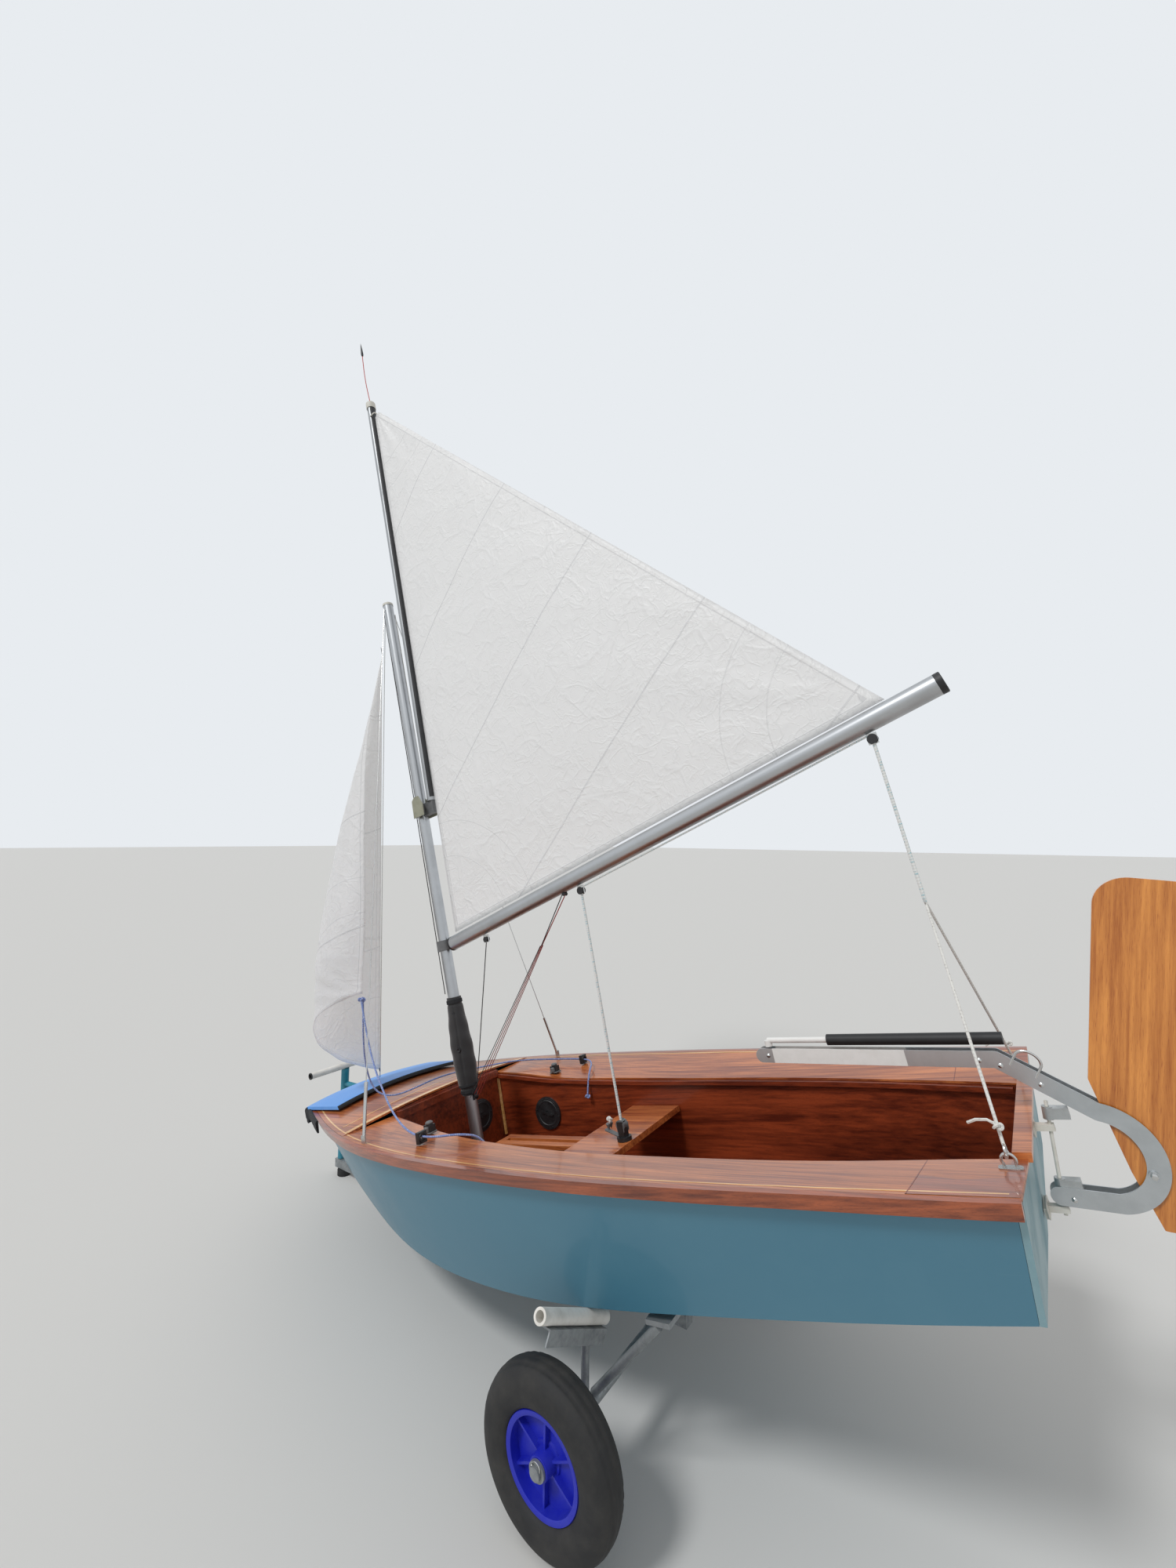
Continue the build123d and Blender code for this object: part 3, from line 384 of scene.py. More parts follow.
def hullVector(tree):  # object coordinates turned and shifted so that x runs along the hull
    place = put(tree, "TexCoord")["Object"]
    return put(tree, "Mapping", {0: place, 1: (hull["back"], 0, hull["height"]), 2: (0, hull["trim"], 0)},
               vector_type="TEXTURE")[0]


def worn(tree, vector, colours, scale, amount):  # the wear group with its clean and worn colours
    return useGroup(tree, "wear", {"Vector": vector, "Scale": scale, "Amount": amount, "Clean": rgb(*colours[0]),
                                   "Worn": rgb(*colours[1])})


def woodLook(name, dark, light, rough, coat, turnGrain=0.0):
    look, tree, surface = shader(name, rough, coat=coat)
    vector = hullVector(tree)
    if turnGrain:
        vector = put(tree, "Mapping", {0: vector, 2: (0, math.radians(turnGrain), 0)})[0]
    grain = useGroup(tree, "grain", {"Vector": vector, "Dark": rgb(*dark), "Light": rgb(*light)})
    finishLook(tree, surface, grain["Color"], grain["Height"], 0.2, 0.0006)
    return look


def plainLook(name, clean, dirty, rough, metallic, amount, scale, bump, depth=0.0006, coat=0.0, sheen=0.0):
    look, tree, surface = shader(name, rough, metallic, coat, sheen)
    wear = worn(tree, hullVector(tree), (clean, dirty), scale, amount)
    tree.links.new(ramp(tree, wear["Mask"], 0, 0.6, rough, min(1.0, rough + 0.25)), surface["Roughness"])
    finishLook(tree, surface, wear["Color"], wear["Height"], bump, depth)
    return look


def splitLook(name, first, second, edges, rough, metallic=(0.0, 0.0)):
    # two finishes on one part, the second where x along the hull lies between two edges in metres
    look, tree, surface = shader(name, rough)
    vector = hullVector(tree)
    place = put(tree, "SeparateXYZ", {0: vector})[0]
    above = ramp(tree, place, edges[0] - 0.0005, edges[0] + 0.0005)
    below = ramp(tree, place, edges[1] - 0.0005, edges[1] + 0.0005, 1, 0)
    mask = times(tree, above, below)
    one, two = worn(tree, vector, first, 14, 0.35), worn(tree, vector, second, 30, 0.35)
    tree.links.new(ramp(tree, mask, 0, 1, *metallic), surface["Metallic"])
    finishLook(tree, surface, mixColour(tree, mask, one["Color"], two["Color"]), two["Height"], 0.3, 0.0008)
    return look


def bottomLook(name, paint, wood):
    # paint outside and varnished grain on the faces that look up, split by the normal's height
    look, tree, surface = shader(name, 0.38, coat=0.25)
    mask = ramp(tree, put(tree, "SeparateXYZ", {0: put(tree, "TexCoord")["Normal"]})[2], 0.1, 0.15)
    vector = hullVector(tree)
    wear = worn(tree, vector, paint, 3, 0.35)
    grain = useGroup(tree, "grain", {"Vector": vector, "Dark": rgb(*wood[0]), "Light": rgb(*wood[1])})
    height = join(tree, wear["Height"], times(tree, mask, grain["Height"]))
    finishLook(tree, surface, mixColour(tree, mask, wear["Color"], grain["Color"]), height, 0.1, 0.0006)
    return look


def ropeLook(name, base, fleck, pitch=70.0):
    look, tree, surface = shader(name, 0.75, sheen=0.2)
    braid = useGroup(tree, "braid", {"UV": put(tree, "TexCoord")["UV"], "Pitch": pitch, "Base": rgb(*base),
                                     "Fleck": rgb(*fleck)})
    finishLook(tree, surface, braid["Color"], braid["Height"], 0.6, 0.0008)
    return look


def sailLook(name, cloth, threadAndShade, gap):
    look, tree, surface = shader(name, 0.5)
    links = {"Vector": put(tree, "TexCoord")["Object"], "Gap": gap, "Cloth": rgb(*cloth), "ThreadAndShade": rgb(*threadAndShade)}
    for socket, key in (("Height", "seamHeight"), ("Edge", "edgeDistance"), ("Corner", "cornerDistance")):
        links[socket] = put(tree, "Attribute", attribute_name=key)["Fac"]
    made = useGroup(tree, "cloth", links)
    finishLook(tree, surface, made["Color"], made["Height"], 0.45, 0.004)
    surface["Subsurface Weight"].default_value = 0.65
    surface["Subsurface Radius"].default_value = (1, 1, 1)
    surface["Subsurface Scale"].default_value = 0.012
    return look


hullColours = ((68, 120, 142), (88, 134, 152))
innerColours = ((84, 28, 12), (148, 64, 32))
# the thread grey marks the real seams and stitches, and also gives the sails' painted crease shade
whiteColour, threadAndShadeColour = (228, 228, 226), (150, 152, 158)
woodLooks = {   # dark, light, roughness, varnish, turn of the grain
    "deckWood": ((128, 58, 26), (204, 122, 66), 0.32, 0.3),
    "innerWood": (*innerColours, 0.36, 0.35),
    "edgeWood": ((104, 44, 22), (172, 88, 48), 0.3, 0.4),
    "ashWood": ((214, 160, 92), (246, 206, 142), 0.3, 0.4),
    "bladeWood": ((172, 98, 34), (222, 146, 68), 0.3, 0.4, 108.5),
}
plainLooks = {   # clean, worn, roughness, metal, amount and scale of wear, bump, its depth, coat, sheen
    "hullPaint": (*hullColours, 0.38, 0, 0.35, 3, 0.05, 0.0006, 0.25),
    "transomPaint": ((128, 160, 168), (92, 130, 142), 0.42, 0, 0.7, 6, 0.12),
    "sparMetal": ((186, 188, 190), (140, 142, 144), 0.32, 1.0, 0.4, 5, 0.06),
    "yardMetal": ((166, 168, 170), (128, 130, 132), 0.4, 0.9, 0.4, 5, 0.06),
    "olivePlate": ((156, 156, 138), (122, 122, 106), 0.5, 0.3, 0.5, 30, 0.1),
    "stainless": ((200, 200, 198), (150, 150, 148), 0.22, 1.0, 0.3, 30, 0.05),
    "fittingMetal": ((190, 192, 192), (150, 150, 146), 0.4, 0.9, 0.5, 25, 0.1),
    "blackPlastic": ((26, 26, 28), (58, 58, 60), 0.45, 0, 0.35, 40, 0.15),
    "greyPlastic": ((96, 98, 100), (130, 130, 130), 0.45, 0, 0.35, 40, 0.15),
    "creamPlastic": ((214, 212, 204), (170, 166, 150), 0.5, 0, 0.4, 30, 0.1),
    "galvanised": ((158, 162, 164), (118, 122, 124), 0.5, 0.75, 0.7, 34, 0.2),
    "tealPaint": ((28, 124, 148), (90, 150, 160), 0.4, 0, 0.4, 22, 0.1),
    "lagging": ((226, 224, 218), (168, 166, 158), 0.6, 0, 0.5, 18, 0.25),
    "rubber": ((30, 30, 31), (78, 76, 72), 0.72, 0, 0.4, 14, 0.3, 0.001),
    "bluePlastic": ((24, 34, 172), (60, 72, 178), 0.42, 0, 0.3, 24, 0.1),
    "bumperFoam": ((24, 25, 28), (56, 58, 62), 0.8, 0, 0.4, 40, 0.5),
    "padBlue": ((84, 156, 236), (126, 178, 240), 0.7, 0, 0.3, 18, 0.4, 0.0006, 0, 0.3),
    "neoprene": ((25, 25, 27), (60, 60, 62), 0.7, 0, 0.3, 30, 0.35, 0.002, 0, 0.4),
    "vaneRed": ((186, 40, 32), (120, 30, 26), 0.5, 0, 0.3, 30, 0.05),
}
ropeLooks = {   # base, fleck, strands in a metre
    "blueRope": ((112, 134, 192), (206, 212, 232)),
    "whiteRope": ((222, 224, 222), (90, 172, 190)),
    "plainRope": ((220, 220, 216), (176, 176, 172)),
    "redRope": ((176, 44, 34), (34, 30, 30)),
    "thinBlack": ((28, 28, 30), (70, 70, 72), 110),
}
looks = {
    "bottomPaint": bottomLook("bottomPaint", hullColours, innerColours),
    "stockMetal": splitLook("stockMetal", ((190, 194, 196), (150, 154, 156)), (whiteColour, (205, 205, 200)),
                            (0.22, 0.585), 0.36, (0.95, 0.0)),
    "extension": splitLook("extension", (whiteColour, (190, 190, 186)), ((22, 22, 24), (40, 40, 42)),
                           (-0.2, 0.42), 0.55),
    "mainCloth": sailLook("mainCloth", (232, 233, 234), threadAndShadeColour, 0.62),
    "jibCloth": sailLook("jibCloth", (230, 231, 232), threadAndShadeColour, 0.52),
}
for table, makeLook in ((woodLooks, woodLook), (plainLooks, plainLook), (ropeLooks, ropeLook)):
    for name, values in table.items():
        looks[name] = makeLook(name, *values)
print("stage: looks made")

dressing = {
    "hullPaint": ("hull_side_port", "hull_side_starboard", "bow_transom"),
    "bottomPaint": ("hull_bottom_port", "hull_bottom_starboard", "keel"),
    "transomPaint": ("stern_transom",),
    "deckWood": ("side_deck_port", "side_deck_starboard", "foredeck", "thwart", "daggerboard_case", "stern_cap"),
    "innerWood": ("tank_wall_port", "tank_wall_starboard", "bulkhead", "mast_step"),
    "edgeWood": ("rubbing_strake_port", "rubbing_strake_starboard"),
    "sparMetal": ("mast", "boom"),
    "yardMetal": ("yard",),
    "greyPlastic": ("gooseneck", "yard_heel"),
    "stainless": ("shrouds", "chainplates", "forestay", "boom_eyes"),
    "stockMetal": ("rudder_stock",),
    "fittingMetal": ("rudder_lugs",),
    "creamPlastic": ("transom_fittings",),
    "bladeWood": ("rudder_blade",),
    "vaneRed": ("wind_vane",),
    "extension": ("tiller_extension",),
    "blackPlastic": ("quarter_blocks", "hatches", "jib_fairleads", "mainsheet_jammer"),
    "galvanised": ("axle", "axle_washers", "cradle_frames", "drawbar"),
    "rubber": ("trolley_foot", "bow_chock"),
    "tealPaint": ("front_post",),
    "lagging": ("cradle_pads", "tow_handle"),
    "bluePlastic": ("wheel_centre_port", "wheel_centre_starboard"),
}
for key, names in dressing.items():
    for name in names:
        nodes[name].data.materials.clear()
        nodes[name].data.materials.append(looks[key])
print("stage: carried-over parts dressed")

view = {"lens": 13.862, "sensor": 36, "near": 0.02, "place": (-1.015, 1.865, 1.699),
        "right": (-0.8058, -0.5921, 0.0080), "up": (-0.0456, 0.0755, 0.9961), "forward": (0.5904, -0.8023, 0.0878)}
cameraData = bpy.data.cameras.new("camera")
cameraData.lens, cameraData.sensor_width, cameraData.sensor_fit = view["lens"], view["sensor"], "AUTO"
cameraData.clip_start = view["near"]
camera = bpy.data.objects.new("camera", cameraData)
scene.collection.objects.link(camera)
turnMatrix = np.eye(4)
turnMatrix[:3, 0], turnMatrix[:3, 1], turnMatrix[:3, 2] = view["right"], view["up"], -np.array(view["forward"])
turnMatrix[:3, 3] = view["place"]
camera.matrix_world = Matrix(turnMatrix.tolist())
scene.camera = camera
scene.view_settings.view_transform = "Standard"

lamps = {"sky": 0.62, "sun": 1.5, "sunTurn": (38, 12, 150), "sunSoft": 12, "floor": (206, 206, 204),
         "backdrop": (232, 236, 240), "floorHalf": 90}
world = bpy.data.worlds.new("sky")
scene.world = world
world.use_nodes = True
skyTree = world.node_tree
skyTree.nodes.clear()
rays = put(skyTree, "LightPath")
seen = join(skyTree, rays["Is Camera Ray"], rays["Is Glossy Ray"], "MAXIMUM")
dim = put(skyTree, "Background", {0: (1, 1, 1, 1), 1: lamps["sky"]})[0]
bright = put(skyTree, "Background", {0: rgb(*lamps["backdrop"]), 1: 1.0})[0]
skyMix = put(skyTree, "MixShader", {0: seen, 1: dim, 2: bright})[0]
skyTree.links.new(skyMix, skyTree.nodes.new("ShaderNodeOutputWorld").inputs[0])
sunData = bpy.data.lights.new("sun", "SUN")
sunData.energy, sunData.angle = lamps["sun"], math.radians(lamps["sunSoft"])
sun = bpy.data.objects.new("sun", sunData)
sun.rotation_euler = [math.radians(a) for a in lamps["sunTurn"]]
scene.collection.objects.link(sun)
floorMesh = bpy.data.meshes.new("floor")
f = lamps["floorHalf"]
floorMesh.from_pydata([(-f, -f, 0), (f, -f, 0), (f, f, 0), (-f, f, 0)], [], [(0, 1, 2, 3)])
floor = bpy.data.objects.new("floor", floorMesh)
scene.collection.objects.link(floor)
floorLook, _, floorSurface = shader("floor", 0.9)
floorSurface["Base Color"].default_value = rgb(*lamps["floor"])
floorMesh.materials.append(floorLook)

sheets = {   # the two free lines: clew, over the deck, fairlead, down inside the cockpit
    "thick": 0.007, "knot": 0.0075, "knotDrop": 0.004,
    "port": ((2175, 334, 530), (2160, 338, 431), (2136, 344, 334), (2089, 359, 247), (2017, 383, 182),
             (1937, 413, 127), (1850, 440, 86), (1756, 462, 60), (1664, 460, 52), (1584, 400, 44),
             (1551, 332, 12), (1540, 306, -56)),
    "starboard": ((2178, 322, 526), (2218, 308, 438), (2255, 293, 349), (2284, 276, 258), (2295, 253, 172),
                  (2271, 229, 122), (2232, 182, 103), (2215, 94, 107), (2210, -3, 114), (2199, -100, 111),
                  (2173, -193, 101), (2128, -279, 93), (2064, -353, 87), (1982, -404, 77), (1890, -435, 66),
                  (1795, -455, 58), (1688, -461, 51), (1632, -422, 45), (1598, -355, 31), (1590, -318, -9),
                  (1598, -309, -62)),
}


def routeLine(points):  # a NURBS line with the route's points as its control points, read back as points along it
    curve = bpy.data.curves.new("route", "CURVE")
    curve.dimensions = "3D"
    spline = curve.splines.new("NURBS")
    spline.points.add(len(points) - 1)
    spline.points.foreach_set("co", np.column_stack([points, np.ones(len(points))]).ravel())
    spline.order_u, spline.use_endpoint_u, spline.resolution_u = 3, True, 10
    carrier = bpy.data.objects.new("route", curve)
    read = bpy.data.meshes.new_from_object(carrier)
    found = np.zeros(len(read.vertices) * 3)
    read.vertices.foreach_get("co", found)
    bpy.data.objects.remove(carrier)
    bpy.data.meshes.remove(read)
    return found.reshape(-1, 3)


def knotTube(centre, size, axis, thick):
    # trefoil: sin t + 2 sin 2t across, cos t - 2 cos 2t up and -sin 3t along, so it passes through itself three times
    t = around(72)
    axis, a, b = ringAxes(axis)
    x, y, z = np.sin(t) + 2 * np.sin(2 * t), np.cos(t) - 2 * np.cos(2 * t), -np.sin(3 * t)
    path = np.asarray(centre) + size * (0.42 * x[:, None] * a + 0.42 * y[:, None] * b + 0.55 * z[:, None] * axis)
    return tube(path, thick / 2, 8, closed=True)


for side in ("port", "starboard"):
    path = routeLine(toRow(sheets[side]))
    piece = makePiece("jibSheet." + side, [tube(path, sheets["thick"] / 2, 12)], looks["blueRope"], boat)
    knots = [knotTube(path[-1], sheets["knot"], path[-1] - path[-3], sheets["thick"]),
             knotTube(path[0] - (0, 0, sheets["knotDrop"]), sheets["knot"], path[0] - path[2], sheets["thick"])]
    knot = makePiece("sheetKnot." + side, knots, looks["blueRope"], boat)
    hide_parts("jib_sheet_" + side)

mainsail = {"luffHeights": (723, 3600), "luffFoot": 1931.5, "luffRake": 0.018197, "luffFrom": 1345,
            "clew": (-6, 0, 1071), "head": (1934, 0, 3612), "outside": 1.5, "cloth": 0.0006,
            "belly": ((0, 4), (0.17, 26), (0.35, 34), (0.65, 24), (1, 3)), "waves": 3.2, "rows": 110, "columns": 80,
            "corners": (((-5, 1072), 17, 420, 7.0), ((1920, 724), 15, 300, 5.0), ((1950, 3600), 19, 420, 5.0)),
            "seamTurn": (0.607, 0.795)}   # corners: x and z, folds in a turn, reach, depth


def rippled(p, spots, height):  # fans of small folds from each corner, and slow waves over the rest, along y
    out = np.zeros(p.shape[:2])
    for (cx, cz), count, reach, size in spots:
        dx, dz = p[..., 0] - cx, p[..., 2] - cz
        far = np.hypot(dx, dz)
        out += size * np.sin(np.arctan2(dz, dx) * count) * np.exp(-far / reach) * np.minimum(1, far / 60)
    x, z = p[..., 0], p[..., 2]
    slow = np.sin(x / 163 + z / 311) * np.sin(z / 197 - x / 405)
    return out + height * (slow + 0.5 * np.sin(x / 71 - z / 97) * np.sin(z / 88 + x / 205))


def mainsailShape(s):
    # each row runs from luff to leech; depth is the row's belly times the parabola 4t(1-t), and folds are added to it
    part = np.linspace(0, 1, s["rows"])[:, None]
    t = np.linspace(0, 1, s["columns"])[None, :]
    z = s["luffHeights"][0] + (s["luffHeights"][1] - s["luffHeights"][0]) * part
    luff = np.stack([s["luffFoot"] + s["luffRake"] * (z - s["luffFrom"]), 0 * z, z], -1)
    leech = np.array(s["clew"]) + (np.array(s["head"]) - s["clew"]) * part[..., None]
    p = luff + (leech - luff) * t[..., None]
    p[..., 1] += s["outside"] + curveAt(s["belly"], part, 1) * 4 * t * (1 - t)
    edge = np.minimum(1, np.minimum(np.minimum(t, 1 - t) * 12, np.minimum(part, 1 - part) * 12))
    p[..., 1] += rippled(p, s["corners"], s["waves"]) * edge
    wide = np.linalg.norm(leech - luff, axis=-1) / 1000
    far = [np.hypot(p[..., 0] - cx, p[..., 2] - cz) for (cx, cz), *_ in s["corners"]]
    marks = {"seamHeight": (s["seamTurn"][0] * p[..., 0] + s["seamTurn"][1] * p[..., 2]) / 1000,
             "edgeDistance": np.minimum(np.minimum(t, (1 - t) * 0.8) * wide, part * 2.6),
             "cornerDistance": np.min(far, 0) / 1000}
    return patch(toRow(p), 1.9, 2.8, marks=marks)


main = makePiece("mainsailCloth", [mainsailShape(mainsail)], looks["mainCloth"], rig, sharp=80,
                 thick=mainsail["cloth"])
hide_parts("mainsail")
print("mainsail cloth", round(sum(f.area for f in main.data.polygons), 3), "m2")
print("stage: mainsail")

jib = {"heights": 90, "columns": 60, "cloth": 0.0005, "outside": 1.5, "waves": 3.0,
       "folds": (((2598, 172), 13, 260, 5.0), ((2175, 546), 15, 260, 6.0)),
       "corners": ((2598, 4, 172), (2175, 325, 546), (2180, 4, 2200)),
       "rows": ((0.00, 2598, 4, 172, 2515, 362, 430, 2175, 325, 546),   # share of the hoist, luff, deepest, leech
                (0.37, 2442, 4, 925, 2420, 330, 882, 2168, 268, 933),
                (0.55, 2368, 4, 1282, 2365, 242, 1268, 2206, 200, 1302),
                (0.77, 2274, 4, 1740, 2290, 100, 1748, 2240, 104, 1762),
                (1.00, 2180, 4, 2200, 2172, 10, 2201, 2158, 14, 2204))}


def jibShape(s):
    # each row is the circle through luff, deepest point and leech: its centre comes from the two chords' cross products
    part = np.linspace(0, 1, s["heights"])
    a, b, c = (np.stack([curveAt(s["rows"], part, k + i) for i in range(3)], -1) for k in (1, 4, 7))
    u, v = b - a, c - a
    normal = np.cross(u, v)
    square = lambda w: (w * w).sum(-1, keepdims=True)
    toCentre = (np.cross(normal, u) * square(v) + np.cross(v, normal) * square(u)) / (2 * square(normal))
    centre = a + toCentre
    first = a - centre
    radius = np.sqrt(square(first))
    first = first / radius
    second = np.cross(normal / np.sqrt(square(normal)), first)
    last = c - centre
    sweep = np.arctan2((last * second).sum(-1), (last * first).sum(-1)) % fullTurn
    t = np.linspace(0, 1, s["columns"])[None, :]
    angle = sweep[:, None, None] * t[..., None]
    ring = np.cos(angle) * first[:, None] + np.sin(angle) * second[:, None]
    p = centre[:, None] + (radius[:, None] + s["outside"]) * ring
    inner = np.minimum(1, np.minimum(t, 1 - t) * 9)
    p += (p - centre[:, None]) / radius[:, None] * (rippled(p, s["folds"], s["waves"]) * inner)[..., None]
    along = radius * sweep[:, None] / 1000
    far = [np.linalg.norm(p - np.array(q), axis=-1) for q in s["corners"]]
    marks = {"seamHeight": (p[..., 2] + 0.25 * p[..., 0]) / 1050,
             "edgeDistance": np.minimum(np.minimum(t * along, (1 - t) * along), part[:, None] * 1.9 + 0 * t),
             "cornerDistance": np.min(far, 0) / 1000}
    return patch(toRow(p), 0.9, 2.0, marks=marks)


headsail = makePiece("jibCloth", [jibShape(jib)], looks["jibCloth"], boat, sharp=80, thick=jib["cloth"])
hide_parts("jib")
print("jib cloth", round(sum(f.area for f in headsail.data.polygons), 3), "m2")
print("stage: jib")

axleAt = {"y": 0.62, "z": 0.203}
tyre = {"around": 144, "across": 56, "treadFrom": 190, "shoulder": 8, "groove": 2.2, "ribGap": 9.5, "lug": 2.0,
        "lugs": 48, "lugsFrom": 22, "mould": 0.5, "mouldZone": (120, 135),
        "section": ((112, 30), (118, 40), (130, 47), (146, 49.6), (162, 49.2), (176, 45.5), (188, 38), (196, 29),
                    (201, 17), (202.6, 6))}   # radius, half-width


def tyreShape(s, side):
    # the half section runs bead, side wall, shoulder, tread; ribs sink the tread by a wave along and across it
    half = np.array(s["section"], float)
    ring = np.concatenate([half, half[::-1] * (1, -1)])
    step = np.concatenate([[0], np.cumsum(np.linalg.norm(np.diff(ring, axis=0), axis=1))])
    even = np.linspace(0, step[-1], s["across"])
    r, w = np.interp(even, step, ring[:, 0])[None, :], np.interp(even, step, ring[:, 1])[None, :]
    angle = around(s["around"])[:, None]
    tread = np.clip((r - s["treadFrom"]) / s["shoulder"], 0, 1)
    groove = np.clip(np.cos(w / s["ribGap"] * math.pi) * 3 - 1.6, 0, 1) * s["groove"]
    lug = np.clip(np.sin(angle * s["lugs"] + np.sign(w) * 0.6) * 3 - 1.4, 0, 1) * s["lug"]
    lug = lug * np.clip((np.abs(w) - s["lugsFrom"]) / 6, 0, 1)
    lines = s["mould"] * np.sin(r / 2.2) * ((r > s["mouldZone"][0]) & (r < s["mouldZone"][1]))
    radius = (r - tread * np.maximum(groove, lug) + lines) / 1000
    y = side * (axleAt["y"] + w / 1000 + 0 * angle)
    return patch(np.stack([radius * np.cos(angle), y, axleAt["z"] + radius * np.sin(angle)], -1), 1, 1, True, True)


for side, sign in (("port", 1), ("starboard", -1)):
    ring = makePiece("tyreRubber." + side, [tyreShape(tyre, sign)], looks["rubber"], "wheel_" + side,
                     sharp=50)
    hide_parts("tyre_" + side)
print("stage: tyres")

cover = {"low": 50, "high": 450, "rows": 70, "around": 64, "lip": 26, "wall": 0.001,
         "widths": ((50, 62), (110, 84), (200, 92), (260, 91), (340, 79), (400, 68), (450, 62)),
         "pinch": (250, 172, 5, 3.0),   # middle, reach, width, depth
         "zip": (2.2, 0.07, 6),   # turn, width, depth
         "belts": ((64, 70, 14), (88, 78, 10), (432, 66, 16)),   # height, width, tall
         "buttons": ((235, 41, 2.05, ((0, 0.1), (5, 4), (6, 8), (3, 10), (0, 10)), 24),   # height, out, turn, profile
                     (385, 33, 2.0, ((0, 0.1), (3, 2), (3, 5), (0, 6)), 20))}


def mastAt(z, out=0.0, turn=0.0):  # place beside the mast at a height, in hull mm
    return np.array([mast["foot"] + math.tan(mast["lean"]) * z + out * math.cos(turn), out * math.sin(turn), z])


def coverShape(s):
    # width by height from the table, pressed into soft folds and gathered to a lip at both ends
    z = np.linspace(s["low"], s["high"], s["rows"])[:, None]
    angle = around(s["around"])[None, :]
    part = (z - s["low"]) / (s["high"] - s["low"])
    soft = np.sin(part * math.pi)
    middle, reach, wide, deep = s["pinch"]
    at, narrow, sunk = s["zip"]
    radius = curveAt(s["widths"], z, 1) / 2
    radius = radius + soft * (1.2 * np.sin(z / 13 + 1.3 * np.sin(angle * 2)) + 1.4 * np.sin(angle * 3 + z / 60))
    radius = radius - deep * np.exp(-((np.abs(z - middle) - reach) / wide) ** 2)
    radius = radius - sunk * soft * np.exp(-((angle - at) / narrow) ** 2)
    x = mast["foot"] + math.tan(mast["lean"]) * z + radius * np.cos(angle)
    rows = np.stack([x, radius * np.sin(angle), z + 0 * angle], -1)
    lips = [((rows[k] - mastAt(z[k, 0])) * (s["lip"] / np.abs(radius[k]).mean()) + mastAt(z[k, 0]))[None]
            for k in (0, -1)]
    return patch(toRow(np.concatenate([lips[0], rows, lips[1]])), wrapColumns=True)


sleeve = makePiece("mastSleeve", [coverShape(cover)], looks["neoprene"], boat, sharp=70,
                   thick=cover["wall"])
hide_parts("mast_cover")
mastDir = turned(mastAt(100) - mastAt(0))
belts = [lathe([(-h / 2, d / 2 - 2), (-h / 2, d / 2 + 1.5), (h / 2, d / 2 + 1.5), (h / 2, d / 2 - 2)],
               toRow(mastAt(z)), mastDir, 48) for z, d, h in cover["belts"]]
makePiece("sleeveBelts", belts, looks["bumperFoam"], boat, bevel=0.001)
buttons = [lathe(profile, toRow(mastAt(z, out, turn)), turned((math.cos(turn), math.sin(turn), 0)), sides)
           for z, out, turn, profile, sides in cover["buttons"]]
makePiece("sleeveButtons", buttons, looks["blackPlastic"], boat)
print("stage: mast sleeve")

sections = ((0, 487, 0), (450, 540, 9), (900, 581, 19), (1350, 590, 32), (1800, 566, 49), (2150, 500, 66),
            (2430, 402, 82), (2640, 312, 95))   # x, half-breadth and height of the gunwale
innerEdge = ((0, 245, -30), (450, 315, -24), (900, 347, -18), (1350, 350, -8), (1800, 320, 20), (2110, 285, 60),
             (2640, 150, 92))   # x, half-opening and height of the deck's inner edge
deck = {"crown": 26, "crownHalf": 507, "bowHalf": 312, "bowX": 2640, "bowHeight": 95}
pad = {"wide": 338, "steps": 60, "crown": deck["crown"] * deck["bowHalf"] / deck["crownHalf"], "gap": 3,
       "backSweep": 40, "faceSweep": 44, "backBefore": 2500, "faceAfter": 2660,
       "top": ((2414, 1), (2412, 6), (2418, 12), (2440, 14), (2500, 14), (2600, 14), (2662, 14), (2668, 12),
               (2670, 7), (2662, 1)),
       "face": ((2661, 12), (2672, 10), (2676, 2), (2676, -24), (2676, -46), (2670, -54), (2662, -54),
                (2661, -40), (2661, -10)),
       "edge": ((2409, 0.5), (2409, 8), (2416, 14.5), (2421, 14.5), (2416, 6))}
sideFoam = {"from": 2420, "to": 2700, "steps": 28, "out": 21, "taper": 0.24,
            "ring": ((0, -38), (0, 4), (4, 7), (10, 6), (13, -2), (10, -32), (7, -40), (1, -41))}


def padShape(s, outline):
    # an outline in x and z, carried from side to side; x and z shift with the deck's crown 1-(y/wide)^2
    y = np.linspace(-s["wide"], s["wide"], s["steps"])[:, None]
    bulge = 1 - (y / s["wide"]) ** 2
    flatX, flatZ = np.asarray(outline, float).T[:, None]
    face = flatX + (s["faceSweep"] * bulge) * (flatX > s["faceAfter"])
    x = np.where(flatX < s["backBefore"], flatX + s["backSweep"] * bulge, face)
    z = flatZ + deck["bowHeight"] + s["crown"] * bulge + s["gap"]
    return capped(np.stack([x + 0 * y, y + 0 * x, z], -1))


blueTop = makePiece("bowPadTop", [padShape(pad, pad["top"])], looks["padBlue"], boat, sharp=60)
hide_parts("bow_pad")
bumper = makePiece("bowBumper", [padShape(pad, pad["face"])], looks["bumperFoam"], boat, sharp=60)
foams = []
x = np.linspace(sideFoam["from"], sideFoam["to"], sideFoam["steps"])
onDeck = np.minimum(x, deck["bowX"])
y = curveAt(sections, onDeck, 1) + sideFoam["out"] - np.maximum(0, x - deck["bowX"]) * sideFoam["taper"]
z = curveAt(sections, onDeck, 2)
ring = np.array(sideFoam["ring"])
for sign in (1, -1):
    foams.append(capped(np.stack([x[:, None] + 0 * ring[:, 0], sign * (y[:, None] + ring[:, 0]),
                                  z[:, None] + ring[:, 1]], -1)))
makePiece("bumperSides", foams, looks["bumperFoam"], boat, sharp=60)
